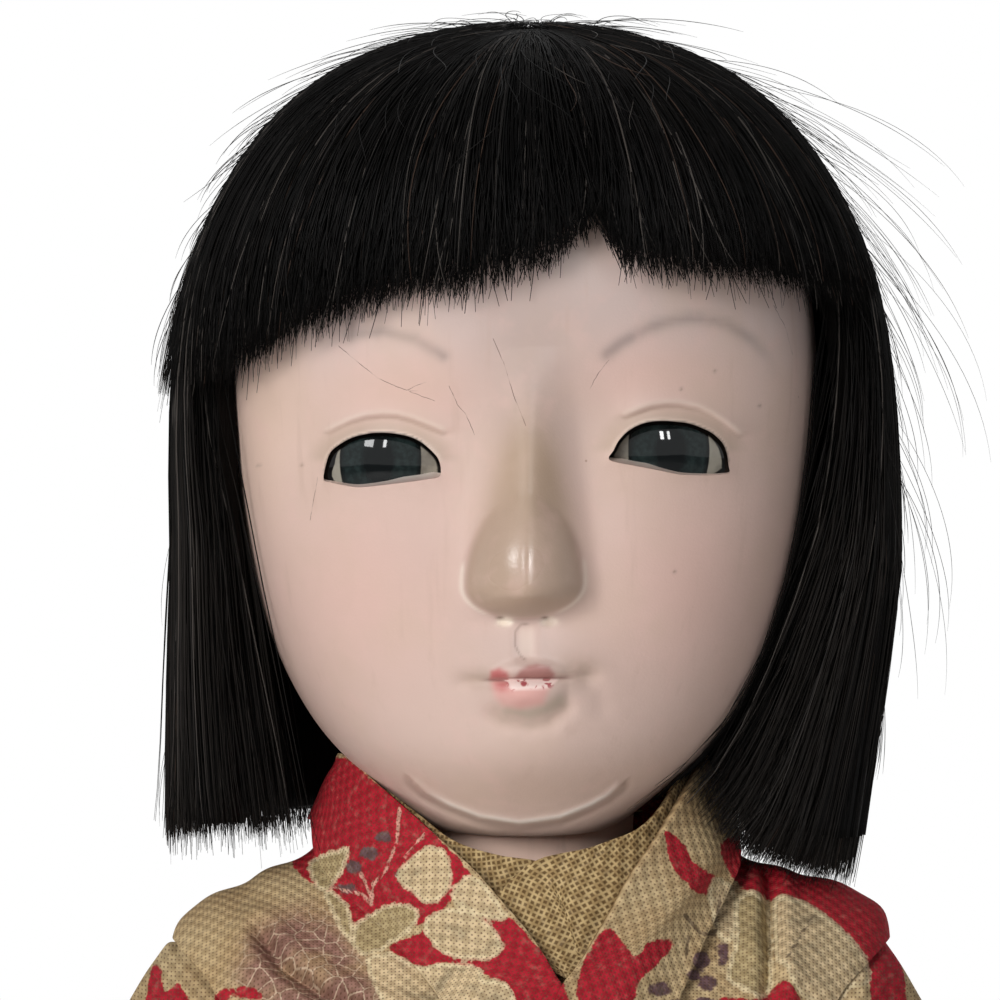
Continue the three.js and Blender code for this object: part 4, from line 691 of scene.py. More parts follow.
# The wig: black hair glued in rows to the crown, combed out all round and cut to a bob with a fringe.
# Each lock has a dark bed of packed hair and loose strands over it that end unevenly at the cut.
HAIR_STATIONS = [
    (-2, 46.3, 32, 42), (8, 47, 33, 44.5), (24, 48, 35, 48), (42, 48.4, 38.5, 50.5), (58, 47.6, 42, 51),
    (71, 45.2, 43, 49.5), (82, 40.4, 41, 45), (91.6, 33.3, 34.5, 37), (98.4, 24, 25, 26.5),
    (102.5, 12.5, 13, 14), (104, 1.2, 1.3, 1.3),
]
HAIR_TRIM = 0.982
HAIR_LEAN = [(-6, -0.8), (16, 0.8), (35, 2.2), (55, 1.6), (68, 1.4), (104, 1.0)]
FRINGE_BACK, SIDE_BACK = -14.3, 18.7
HAIR_BED, HAIR_DEPTH = 1.1, 7.2
FRINGE_CUT = [
    (-50, 56.0), (-46, 56.5), (-36.9, 57.5), (-27.9, 62.5), (-21.6, 65.6), (-15.4, 67.9), (-9.1, 68.8),
    (-2.9, 70), (2.8, 71.2), (6.5, 74.4), (9.6, 76.9), (12.1, 71.2), (17.1, 70), (22.1, 69.4), (34.6, 68.8),
    (50, 68),
]
SIDE_CUT = [
    (-50, -0.5), (-38, 0.2), (-31, -1.0), (-26, -2.2), (0, 0), (17, 3.5), (22, 2.0), (27, -2.8), (31, -3.8),
    (37, -5.4), (44, -6.2), (52, -6.4),
]
rng = np.random.default_rng(11)


def hair_point(angle, down):
    """A point of the hair's outside, at an angle round the head and a place on the stations."""
    height, half, front, back = np.moveaxis(through(HAIR_STATIONS, down), -1, 0)
    cosine, sine = np.cos(angle), np.sin(angle)
    power = 2 / HEAD_SQUARENESS
    x = half * np.sign(cosine) * np.abs(cosine) ** power
    y = np.where(sine < 0, front, back) * np.sign(sine) * np.abs(sine) ** power
    lean = np.interp(height, *np.array(HAIR_LEAN).T)
    return together(x * HAIR_TRIM + lean, y + HEAD_Y, height + CHIN_Z)


def unit(vectors):
    return vectors / np.maximum(np.linalg.norm(vectors, axis=-1, keepdims=True), 1e-9)


def hair_outward(angle, down):
    """The way out from the hair's surface."""
    around = hair_point(angle + 0.03, down) - hair_point(angle - 0.03, down)
    up = hair_point(angle, np.minimum(down + 0.05, 10)) - hair_point(angle, np.maximum(down - 0.05, 0))
    return unit(np.cross(around, up))


def lock_angle(lock, share, down):
    """The angle round the head of a place across a lock, which keeps between its upright parting planes."""
    _, _, front, back = np.moveaxis(through(HAIR_STATIONS, down), -1, 0)
    at_front = np.arcsin(np.clip(-FRINGE_BACK / front, 0, 1) ** (HEAD_SQUARENESS / 2))
    at_back = np.arcsin(np.clip(SIDE_BACK / back, 0, 1) ** (HEAD_SQUARENESS / 2))
    low, high = {
        "fringe": (-math.pi + at_front, -at_front),
        "left": (-at_front, at_back),
        "right": (math.pi + at_front, math.pi - at_back),
        "back": (at_back, math.pi - at_back),
    }[lock]
    return low + (high - low) * share


def out_of_head(points, gap=0.8):
    """Moves points that would be inside the head out to just clear of it."""
    h = np.clip(points[..., 2] - CHIN_Z, 0, 95.5)
    half, front, back = (np.interp(h, dense[:, 0], dense[:, k]) + gap for k in (1, 2, 3))
    x, y = points[..., 0], points[..., 1] - HEAD_Y
    n = HEAD_SQUARENESS
    size = (np.abs(x / half) ** n + np.abs(y / np.where(y < 0, front, back)) ** n) ** (1 / n)
    grow = np.where(size < 1, 1 / np.maximum(size, 0.05), 1)
    clear = points.copy()
    clear[..., 0] = x * grow
    clear[..., 1] = y * grow + HEAD_Y
    return clear


def closed_sheet(outer, inner, closed=False):
    """Points and faces of a sheet with two sides, joined along its edges; closed ones go right round."""
    rows, columns = outer.shape[:2]
    count = rows * columns
    face = grid_faces(rows, columns, closed)
    faces = face.tolist() + (face[:, ::-1] + count).tolist()
    grid = np.arange(count).reshape(rows, columns)
    edges = [(grid[0], closed), (grid[-1], closed)]
    if not closed:
        edges += [(grid[:, 0], False), (grid[:, -1], False)]
    for edge, wraps in edges:
        following = np.roll(edge, -1)
        last = len(edge) if wraps else len(edge) - 1
        faces += [[edge[i], following[i], following[i] + count, edge[i] + count] for i in range(last)]
    return np.vstack([outer.reshape(-1, 3), inner.reshape(-1, 3)]), faces


def strands(name, paths, outward, width):
    """Closed three-sided hairs along paths, finer towards their ends."""
    count, steps = paths.shape[:2]
    along = unit(np.gradient(paths, axis=1))
    across = unit(np.cross(along, outward))
    rise = np.cross(across, along)
    taper = np.interp(np.linspace(0, 1, steps), [0, 0.15, 0.7, 1], [0.6, 1, 1, 0.3])
    wide = (width[:, None] * taper)[..., None]
    corners = np.stack([paths + across * wide / 2, paths - across * wide / 2, paths + rise * wide * 0.6], 2)
    start = (np.arange(count) * steps * 3)[:, None, None]
    segment = (np.arange(steps - 1) * 3)[None, :, None]
    corner = np.arange(3)[None, None, :]
    a, b = start + segment + corner, start + segment + (corner + 1) % 3
    quads = together(a, a + 3, b + 3, b).reshape(-1, 4)
    first = start[:, 0, 0]
    last = first + (steps - 1) * 3
    tips = [together(first, first + 1, first + 2), together(last + 2, last + 1, last)]
    piece = mesh_piece(name, corners.reshape(-1, 3), quads.tolist() + np.concatenate(tips).tolist())
    note(piece, "strand", np.repeat(rng.random(count), steps * 3))
    return piece


def hair_finish(name, bed):
    """Black hair: each strand its own tone of black, some mid grey. A few pale grey and brown strands are
    painted highlights, and the loose strands are painted lighter low down as painted light.
    """
    material, tree, shader = finish_of(name)
    where = place_on(tree)
    shade = mottle(scaled(where, (1, 1, 0.05)), 0.5) if bed else reading(tree, "strand")
    colour = over(shade, tint(6, 6, 6), tint(17, 15, 14))
    if bed:
        raised(shader, shade, 0.25)
    else:
        # Painted light: the loose strands are lighter low down.
        painted_light_low = times(span(parts(where)[2], 0.385, 0.345, 0.0, 0.7), shade)
        colour = over(painted_light_low, colour, tint(50, 46, 43))
        colour = over(span(shade, 0.80, 0.92, 0.0, 0.8), colour, tint(38, 36, 35))
        # Painted highlights: a few pale grey and brown strands.
        colour = over(span(shade, 0.945, 0.96, 0.0, 0.9), colour, tint(78, 73, 69))
        colour = over(span(shade, 0.985, 0.99, 0.0, 0.8), colour, tint(58, 42, 33))
    feed(shader, {"Base Color": colour, "Roughness": 0.45, "Specular IOR Level": 0.05})
    return material


HAIR_BED_FINISH = hair_finish("packed_hair", True)
HAIR_FINISH = hair_finish("loose_hair", False)
LOCKS = {
    # name of its solid, layers of strands, strands in each, where it starts, points along a strand
    "fringe": ("fringe", 3, 1700, 8.85, 18),
    "left": ("left_side_hair", 2, 1700, 9.6, 18),
    "right": ("right_side_hair", 2, 1700, 9.6, 18),
    "back": ("back_hair", 2, 1500, 8.8, 20),
}


def cut_height(lock, x):
    line = np.array(FRINGE_CUT if lock == "fringe" else SIDE_CUT)
    return np.interp(x, line[:, 0], line[:, 1])


def lowest_place(lock, share):
    """Where on the stations each place across a lock is cut off."""
    if lock != "fringe":
        return np.zeros_like(share)
    places = np.linspace(8.8, 3.0, 120)[:, None]
    trail = hair_point(lock_angle(lock, share[None], places), places)
    under = trail[..., 2] - CHIN_Z < cut_height(lock, trail[..., 0])
    return places[np.argmax(under, 0), 0]


def run_of_hair(lock, share, top, low, steps):
    """Angles and places along strands, from near the crown down to the cut."""
    t = np.linspace(0, 1, steps)[None]
    down = top[:, None] + (low - top)[:, None] * t
    return t, lock_angle(lock, share[:, None], down), down


def combed(lock, count, crown, steps):
    """Paths of strands combed from the crown to the cut, and the way out of the hair along them."""
    at_side = lock in ("left", "right")
    beyond = (-0.13, 1.01) if lock == "fringe" else (0, 1)
    share = rng.uniform(*beyond, count)
    clump = np.round(share * 46 + rng.normal(0, 0.25, count)) / 46
    top = crown - rng.random(count) ** 1.7 * (1.9 if lock == "fringe" else 3.4)
    t, angle, down = run_of_hair(lock, share, top, lowest_place(lock, share), steps)
    gather = 0.7 * rng.random(count)[:, None] * t ** 2
    angle = angle + (lock_angle(lock, clump[:, None], down) - angle) * gather
    out = hair_outward(angle, down)
    across = unit(np.cross(out, np.array([0, 0, 1.0])))

    def each(low, high):
        return rng.uniform(low, high, (count, 1))

    sway = rng.normal(0, 0.6, (count, 1)) * np.sin(t * each(2, 6) + each(0, 6))
    wander = 2.0 if at_side else 1.2
    sway = sway + rng.normal(0, wander, (count, 1)) * t ** 1.5 + rng.normal(0, 1.5, (count, 1)) * t ** 6
    bulk = HAIR_DEPTH * 0.8 * rng.random((count, 1)) ** 2.2
    filling = (rng.random((count, 1)) < 0.3) * each(2, 12) * at_side
    lifted = (rng.random((count, 1)) < 0.012) * each(0.5, 2.5)
    beside = ease(0.0, 0.03, np.maximum(-share, share - 1))[:, None]
    lifted = lifted + beside * each(0, 1) ** 5 * 2.5
    sink = -bulk * (0.35 + 0.65 * t) * (1 - beside) - filling * ease(0.35, 1.0, t)
    sink = sink + lifted * t ** 3 - 0.6 * beside
    path = hair_point(angle, down) + across * sway[..., None] + out * sink[..., None]
    path[..., 0] -= (lock == "left") * (16 * each(0, 1) ** 1.5 * (1.1 - share[:, None]) * t ** 3 + 2 * t ** 2)
    end = cut_height(lock, path[:, -1, 0]) + 0.5 + rng.normal(0, 0.9, count) + 0.7 * np.sin(clump * 300)
    end -= (rng.random(count) < 0.08) * rng.uniform(0, 3.5, count)
    height = path[..., 2] - CHIN_Z
    stretch = (height[:, :1] - end[:, None]) / np.maximum(height[:, :1] - height[:, -1:], 1)
    path[..., 2] = CHIN_Z + height[:, :1] - (height[:, :1] - height) * stretch
    return out_of_head(path), out


for lock, (node, layers, count, crown, steps) in LOCKS.items():
    columns = np.linspace(0.004, 0.996, 90)
    low = lowest_place(lock, columns) + (0.12 if lock == "left" else 0.36)
    rows = np.linspace(0, 1, 60)[:, None]
    down = low[None] + (crown + 0.39 * (lock != "fringe") - low)[None] * rows
    angle = lock_angle(lock, columns[None], down)
    out = hair_outward(angle, down)
    ridges = 0.25 * np.sin(columns * 260)[None, :, None] + 0.2 * np.sin(columns * 97 + 1)[None, :, None]
    outer = hair_point(angle, down) + out * (ridges - HAIR_BED)
    inner = out_of_head(hair_point(angle, down) - out * HAIR_DEPTH, 0.5)
    bed = mesh_piece(f"{node}_bed", *closed_sheet(outer, inner))
    fasten(bed, HAIR_BED_FINISH, "hair", "head", node)
    for layer in range(layers):
        path, out = combed(lock, count, crown, steps)
        hairs = strands(f"{node}_strands_{layer + 1}", path, out, rng.uniform(0.13, 0.27, count))
        fasten(hairs, HAIR_FINISH, "hair", "head", node)

# Loose hairs: a few of the wig's own that have worked free and stand away from the crown and the cut.
# Those over the crown curl upwards, and the rest lie across the fringe or hang clear at the sides.
STRAY_STEPS = 18
STRAY_HAIRS = [
    # name, how many, angles round the head, places up it, lengths, lifts, curls, thicknesses
    ("loose_side_hairs", 260, (-0.3, math.pi + 0.3), (1.2, 8.2),
     (5, 16), (0.05, 0.20), (-0.25, 0.25), (0.08, 0.14)),
    ("loose_left_hairs", 60, (math.pi - 0.35, math.pi + 0.3), (4.6, 7.4),
     (7, 17), (0.12, 0.38), (-0.15, 0.15), (0.10, 0.17)),
    ("hanging_loose_hairs", 80, (-0.5, 0.35), (3.2, 8.2),
     (14, 40), (0.06, 0.42), (-0.12, 0.12), (0.07, 0.11)),
    ("loose_crown_hairs", 200, (0, 2 * math.pi), (7.6, 9.9),
     (6, 24), (0.03, 0.22), (-0.45, 0.45), (0.08, 0.14)),
    ("curled_crown_hairs", 26, (0, 2 * math.pi), (9.0, 9.9),
     (3, 8), (0.30, 0.60), (-0.8, 0.8), (0.08, 0.13)),
    ("loose_fringe_hairs", 70, (-math.pi + 0.5, -0.5), (7.0, 9.0),
     (12, 34), (0.015, 0.05), (-0.3, 0.3), (0.10, 0.16)),
]
for name, count, *limits, thickness in STRAY_HAIRS:
    angle, place_up = (rng.uniform(*ends, count) for ends in limits[:2])
    out = hair_outward(angle, place_up)
    root = hair_point(angle, place_up) - out * 0.5
    along = unit(hair_point(angle, np.maximum(place_up - 0.4, 0)) - hair_point(angle, place_up))
    aside = unit(np.cross(out, along))
    t = np.linspace(0, 1, STRAY_STEPS)[None, :, None]
    reach, away, bend = limits[2:]
    length, lift, curl, turn = (rng.uniform(*ends, count)[:, None, None]
                                for ends in (reach, away, bend, bend))
    path = root[:, None] + length * (along[:, None] * (t - 0.15 * t ** 2)
                                     + out[:, None] * lift * t * (1.5 - t)
                                     + aside[:, None] * (curl * t ** 2 + 0.25 * turn * np.sin(5 * t)))
    outward = np.repeat(out[:, None], STRAY_STEPS, 1)
    piece = strands(name, out_of_head(path), outward, rng.uniform(*thickness, count))
    fasten(piece, HAIR_FINISH, "hair", "head")

# The arms: stuffed cotton upper arms, gathered over the ends of composition forearms and bound with thread.
# Forearms and hands are coated like the face, with the four fingers side by side.
SIDES = ((1, "left"), (-1, "right"))
SHOULDER_X, SHOULDER_Z, ARM_SPREAD = 38.0, 287.0, math.radians(30)
ELBOW_GIRTH, ELBOW_DROP = 9.0, -41.9
THREAD_BAND, THREAD_TURNS = 0.9, 3
UPPER_ARM_PROFILE = [
    (0.4, 10.4), (3.6, 9.9), (6.7, 8.0), (9.1, 5.2), (10.3, 1.8), (10.5, -4.2), (10.7, -14), (10.75, -24),
    (10.1, -33), (9.8, -37), (9.4, -40.3), (7.9, -41.9), (9.3, -43.4), (8.8, -44),
]
THIGH_PROFILE = [
    (0.5, 14.9), (5.1, 14.1), (9.6, 11.5), (13.0, 7.5), (14.8, 2.6), (15.0, -6), (14.9, -20), (14.5, -34),
    (13.2, -47), (12.8, -53), (12.4, -56.3), (10.9, -57.9), (12.3, -59.5), (11.8, -60),
]


def arm_place(points, side):
    """Places points of a limb that hangs from its top to where the arm is, out from the shoulder."""
    turn = -side * ARM_SPREAD
    x, y, z = np.moveaxis(np.asarray(points, float), -1, 0)
    return together(x*math.cos(turn) + z*math.sin(turn) + side*SHOULDER_X, y,
                    z*math.cos(turn) - x*math.sin(turn) + SHOULDER_Z)


def stuffed(profile, rows, sides, pleats):
    """Rings of a stuffed limb, lumpy along its length and gathered into pleats above the binding."""
    run = through(profile, np.linspace(0, len(profile) - 1, rows))
    angle = once_round(sides)
    gather = bell(run[:, 1:], run[-1, 1] + 2.5, 5)
    lumps = 0.18 * np.sin(3*angle + run[:, 1:] * 0.31) + 0.12 * np.sin(5*angle - run[:, 1:] * 0.52 + 1)
    seam = -0.45 * bell(angle, math.pi / 2, 0.06)
    bumps = np.where(run[:, :1] > 5, lumps * (1 - gather) + seam, 0)
    radius = run[:, :1] + bumps + 0.3 * gather * np.sin(pleats * angle)
    return together(radius * np.cos(angle), radius * np.sin(angle), np.repeat(run[:, 1:], sides, 1))


def wavering(where, scale, detail, reach):
    """Places pushed about a little, as hand-woven and hand-printed cloth is."""
    noise = put(tree_of(where), "TexNoise", {"Vector": where, "Scale": scale, "Detail": detail})
    return moved("MULTIPLY_ADD", noise.outputs["Color"], (reach,) * 3, where)[0]


def wave(value, turn):
    return calc("SINE", times(value, turn))


def woven(name, warp, gap, pitch, weave_shade=0.35, print_on=None, gloss=0.85, openness=0.6):
    """Plain woven cloth: threads over and under, painted darker in a check at the crossings and dark in the
    gaps between them, as painted shade.
    """
    material, tree, shader = finish_of(name)
    cloth = reading(tree, "cloth", "Vector")
    colour = print_on(cloth) if print_on else warp
    across, along, _ = parts(wavering(cloth, 260.0, 2.0, pitch * 0.0011))
    turn = 1000 * math.pi / pitch
    threads = calc("MAXIMUM", *(calc("ABSOLUTE", wave(way, turn)) for way in (across, along)))
    ragged = calc("MULTIPLY_ADD", mottle(cloth, pitch * 1.3), 0.5, openness - 0.25)
    hole = span(less(threads, ragged), 0.08, -0.28)
    check = times(wave(across, turn / 2), wave(along, turn / 2))
    shaded = (*(0.55 * part for part in warp[:3]), 1)
    # Painted shade: the weave darkened in a check at the thread crossings, and in the gaps between the
    # threads.
    colour = over(times(span(check, -0.6, 0.6), weave_shade), colour, shaded, "MULTIPLY")
    colour = over(times(hole, 0.85), colour, gap)
    colour = over(span(mottle(cloth, 1.2), 0.5, 0.8, 0, 0.12), colour, tint(226, 208, 178))
    feed(shader, {"Base Color": colour, "Roughness": gloss, "Specular IOR Level": 0.2})
    raised(shader, plus(times(threads, 0.6), check), pitch * 0.3, 0.7)
    return material


def lay_cloth(piece, grid, sides=2):
    """Notes where every point lies in the flat cloth, in metres, for a sheet with that many sides."""
    flat = np.concatenate([grid.reshape(-1, 2)] * sides) / 1000
    extra = len(piece.data.vertices) - len(flat)
    flat = np.vstack([flat, np.repeat(flat[-1:], extra, 0)])
    note(piece, "cloth", np.column_stack([flat, np.zeros(len(flat))]))


def flat_run(points):
    """Where a grid's points lie flat: the mean distance across its rows, and how far down its columns."""
    step = np.linalg.norm(np.diff(points, axis=1), axis=-1).mean(0)
    u = np.concatenate([[0], np.cumsum(step)])
    drop = np.linalg.norm(np.diff(points, axis=0), axis=-1)
    v = np.vstack([np.zeros(points.shape[1]), np.cumsum(drop, 0)])
    return together(np.broadcast_to(u, v.shape), v)


STUFFED_COTTON = woven("stuffed_cotton", tint(214, 202, 180), tint(140, 124, 100), 0.5)


def wound_thread(centre_ring, radius, turns):
    """Turns of thread wound side by side round a limb, as one closed coil."""
    steps = turns * 60
    t = np.linspace(0, 1, steps)
    angle = 2 * math.pi * turns * t
    rise = np.linspace(-radius, radius, steps) * (1 - 1.0 / turns)
    centre = together(centre_ring * np.cos(angle), centre_ring * np.sin(angle), rise)
    outward = together(np.cos(angle), np.sin(angle), np.zeros(steps))
    turn = once_round(8)
    thread = radius / turns * 1.15
    return (centre[:, None] + outward[:, None] * (np.cos(turn) * thread)[None, :, None]
            + np.array([0, 0, 1.0]) * (np.sin(turn) * thread)[None, :, None])


THREAD, tree, shader = finish_of("binding_thread")
fibres = mottle(place_on(tree), 0.25)
feed(shader, {"Base Color": over(fibres, tint(150, 132, 104), tint(206, 190, 160)), "Roughness": 0.8})
raised(shader, fibres, 0.1)
LIMB_GOFUN = gofun("gofun_limbs", tint(222, 200, 184), 0.38)


def smooth_casting(node, material):
    """Rounds off a cast and coated part of the frame, and gives it its finish."""
    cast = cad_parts[node]
    fine = cast.modifiers.new("even_skin", "REMESH")
    fine.mode = "VOXEL"
    fine.voxel_size = 0.0007
    fine.use_smooth_shade = True
    polish = cast.modifiers.new("polish", "SMOOTH")
    polish.factor, polish.iterations = 0.5, 7
    cast.data.materials.clear()
    cast.data.materials.append(material)


for side, label in SIDES:
    rings = stuffed(UPPER_ARM_PROFILE, 70, 80, 22)
    upper_arm = mesh_piece(f"{label}_stuffed_arm", *skin(arm_place(rings, side)))
    lay_cloth(upper_arm, flat_run(rings), 1)
    fasten(upper_arm, STUFFED_COTTON, "stuffed_cotton", f"{label}_arm", f"{label}_upper_arm")
    coil = wound_thread(ELBOW_GIRTH, THREAD_BAND, THREAD_TURNS) + np.array([0, 0, ELBOW_DROP])
    binding = mesh_piece(f"{label}_arm_thread", *skin(arm_place(coil, side)))
    fasten(binding, THREAD, "thread", f"{label}_arm", f"{label}_elbow_binding")
    smooth_casting(f"{label}_forearm", LIMB_GOFUN)

# The legs: cotton thighs stuffed like the arms, hung from the hip block so that the doll can sit.
# They are bound with thread over the knees of coated composition lower legs with small flat feet.
LEG_X, HIP_Z = 19.0, 146.0
KNEE_GIRTH, KNEE_DROP = 12.0, -57.9
for side, label in SIDES:
    hung = np.array([side * LEG_X, 0, HIP_Z])
    rings = stuffed(THIGH_PROFILE, 80, 96, 28)
    thigh = mesh_piece(f"{label}_stuffed_thigh", *skin(rings + hung))
    lay_cloth(thigh, flat_run(rings), 1)
    fasten(thigh, STUFFED_COTTON, "stuffed_cotton", f"{label}_leg", f"{label}_thigh")
    coil = wound_thread(KNEE_GIRTH, THREAD_BAND, THREAD_TURNS) + np.array([0, 0, KNEE_DROP]) + hung
    binding = mesh_piece(f"{label}_leg_thread", *skin(coil))
    fasten(binding, THREAD, "thread", f"{label}_leg", f"{label}_knee_binding")
    smooth_casting(f"{label}_lower_leg", LIMB_GOFUN)

# The trunk: a coated chest shell above a hip block of bare composition, joined by a tube of cotton.
# Inside the tube sits the voice box, two boards with paper bellows between them and a reed pipe.
HIP_TOP, CHEST_BOTTOM = 192.3, 240.0
HIP_HALF, CHEST_HALF, TRUNK_DEPTH, TRUNK_SQUARENESS, TUBE_CLOTH = 31.0, 29.5, 21.0, 2.3, 0.8


def plain_finish(name, light, dark, size, gloss, grain=(1, 1, 1)):
    """A plain material that wanders between two colours, along a grain where it has one."""
    material, tree, shader = finish_of(name)
    where = scaled(place_on(tree), grain)
    feed(shader, {"Base Color": over(span(mottle(where, size), 0.3, 0.7), light, dark), "Roughness": gloss})
    raised(shader, mottle(where, size / 4), 0.05)
    return material


INSIDE_FINISHES = {
    "chest_shell": LIMB_GOFUN,
    "hip_block": plain_finish("composition", tint(150, 116, 84), tint(120, 90, 64), 3, 0.8),
    "neck_peg": plain_finish("pale_wood", tint(206, 176, 132), tint(182, 148, 104), 2, 0.65, (1, 1, 0.1)),
    "left_eye_packing": plain_finish("plaster", tint(220, 214, 204), tint(202, 194, 182), 2, 0.9),
    "crier_bellows": plain_finish("bellows_paper", tint(224, 214, 190), tint(200, 186, 156), 4, 0.85),
}
for node, like in (("right_eye_packing", "left_eye_packing"), ("crier_back_board", "neck_peg"),
                   ("crier_front_board", "neck_peg"), ("crier_reed", "neck_peg")):
    INSIDE_FINISHES[node] = INSIDE_FINISHES[like]
for node, material in INSIDE_FINISHES.items():
    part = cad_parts[node]
    part.data.materials.clear()
    part.data.materials.append(material)
    worn_edge = part.modifiers.new("worn_edge", "BEVEL")
    worn_edge.width, worn_edge.segments, worn_edge.angle_limit = 0.0004, 2, math.radians(50)

share = np.linspace(0, 1, 40)[:, None]
angle = once_round(140)
swell = 1.5 * np.sin(math.pi * share) - 1.5 + 0.25 * np.sin(9 * angle + 4 * share) * np.sin(math.pi * share)
half_width = HIP_HALF + (CHEST_HALF - HIP_HALF) * share


def tube_ring(inset):
    power = 2 / TRUNK_SQUARENESS
    x = (half_width + swell - inset) * np.sign(np.cos(angle)) * np.abs(np.cos(angle)) ** power
    y = (TRUNK_DEPTH + swell - inset) * np.sign(np.sin(angle)) * np.abs(np.sin(angle)) ** power
    return together(x, y, HIP_TOP + share * (CHEST_BOTTOM - HIP_TOP))


midriff = mesh_piece("midriff_tube", *closed_sheet(tube_ring(0), tube_ring(TUBE_CLOTH), True))
lay_cloth(midriff, flat_run(tube_ring(0)))
fasten(midriff, STUFFED_COTTON, "stuffed_cotton", "trunk", "midriff_cloth")

# The kimono: printed cotton in flat panels, a red ground under tan and cream blossoms with plum leaves.
# The bodice is folded over the shoulders, open in front, and hangs loose over the arms at its armholes.
BODICE_STATIONS = [
    (20.5, 20, 18, 327, 316.5, 326), (22, 20.5, 18.5, 325.2, 313.5, 324), (24.3, 21.5, 19.5, 321, 308, 320),
    (27.5, 22.5, 20.5, 315.5, 300, 315), (35, 24, 23, 312, 295, 309), (43.2, 26, 25, 305.5, 288, 296),
    (43.2, 27.5, 26, 287, 278, 282), (37.5, 27.5, 25.5, 258, 258, 258), (34.5, 26.5, 24.5, 222, 222, 222),
]
CLOTH = 1.0
# Two deep folds over the breast, each with its depth.
DEEP_FOLDS = [
    (1.9, [(-33.5, 305.2), (-31, 301.6), (-26, 298.4), (-20.7, 296.3), (-14, 294)]),
    (1.6, [(31.9, 313.4), (31.9, 308.9), (31.7, 301.9), (31, 292)]),
]
# The armhole, as [out from the middle, reach above the arm, reach below it].
ARMHOLE = [(24.0, 0.5, 0.5), (27.0, 17.0, 17.0), (36.0, 17.2, 18.7), (44.0, 17.2, 32.6), (49.0, 17.4, 41.0)]
SHOULDER_PUFF, LEFT_CAP, RIGHT_CAP = 1.6, 0.09, 0.04


def bodice_point(angle, down):
    half, front, back, side_z, front_z, back_z = np.moveaxis(through(BODICE_STATIONS, down), -1, 0)
    sine = np.sin(angle)
    reach, end_z = np.where(sine < 0, front, back), np.where(sine < 0, front_z, back_z)
    x = half * np.cos(angle)
    cap = ease(4.1, 5.0, down) * ease(7.0, 5.9, down) * np.cos(angle) ** 2
    x = x * (1 + cap * np.where(x > 0, LEFT_CAP, RIGHT_CAP))
    puff = SHOULDER_PUFF * ease(26, 40, x) * ease(3.2, 4.4, down) * ease(7.4, 5.8, down)
    return together(x, reach * sine, side_z + (end_z - side_z) * sine ** 2 + puff)


def bodice_outward(angle, down):
    around = bodice_point(angle + 0.01, down) - bodice_point(angle - 0.01, down)
    along = bodice_point(angle, np.minimum(down + 0.01, 8)) - bodice_point(angle, np.maximum(down - 0.01, 0))
    return unit(np.cross(along, around))


RED, TAN, CREAM = tint(166, 28, 42), tint(204, 176, 140), tint(224, 206, 172)
PLUM, PLUM_TAN, LEAF = tint(124, 96, 92), tint(186, 148, 126), tint(92, 72, 70)
# The pattern over the breast and shoulders, as outlines [across, up] seen from in front.
RED_GROUND = [
    [(-23.9, 327.7), (-18.9, 324.8), (-15, 322.1), (-10.7, 318), (-6.4, 313.4), (-7.7, 312.3),
     (-9.3, 309.8), (-13.2, 307), (-21.4, 306.6), (-22.1, 308.4), (-25.5, 310.7), (-30, 314.1), (-30, 321)],
    [(-17.1, 304), (-13.2, 305.9), (-8.6, 308.4), (-3.1, 308.1), (-0.4, 307), (5.5, 299.1), (4.9, 293),
     (-1.1, 293), (-1.5, 298.4), (-3.2, 300), (-5.7, 301.3), (-10, 302.2), (-13.2, 301.6)],
    [(-48, 300.2), (-46.7, 300.4), (-46, 297.7), (-44.2, 298.8), (-42.7, 296.6), (-42.4, 293),
     (-48.3, 293)],
    [(-39.2, 297.7), (-35.7, 298.8), (-33.2, 298.1), (-33.9, 297.2), (-37.1, 297.4), (-38.9, 295.6)],
    [(18.1, 318.7), (20.4, 317.3), (21.8, 314.8), (24.6, 312.7), (23.5, 310.6), (21.8, 311.3), (19, 314.5)],
    [(10.5, 306.8), (14.3, 303.2), (16.2, 305.1), (19.4, 304.4), (14.5, 299.9), (14.3, 298.1),
     (10.7, 296.4), (7.2, 297.1), (7.2, 301.2)],
    [(25.5, 317), (31.2, 318), (37.1, 316), (45, 312), (48.6, 305), (49.4, 300), (49.2, 293), (45.1, 293),
     (44.3, 300.2), (39.9, 306.8), (33.6, 310.1), (31.9, 309.3), (29.1, 310.6), (27, 312.4)],
    [(24.9, 297.4), (30.2, 297.4), (33.3, 299.7), (35, 298.1), (36.8, 293), (24.6, 293)],
]
KHAKI_LEAVES = [
    [(-27.3, 314.1), (-22.8, 316.3), (-22.5, 315.5), (-23.6, 313), (-25.7, 310.8)],
    [(-21.6, 305.6), (-20.7, 307), (-16.8, 309.3), (-13.9, 309.1), (-13.6, 307.7), (-15.4, 305.6),
     (-19.6, 303.1), (-21.4, 304.1)],
    [(-25.3, 310.7), (-22.7, 309.1), (-21.8, 305.2), (-23, 305.9)],
    [(27.4, 308.9), (29.1, 310.6), (31.2, 309.3), (31.7, 304.7), (31.4, 298.1), (28.8, 298.5),
     (26.3, 300.2), (27.4, 304.7)],
]
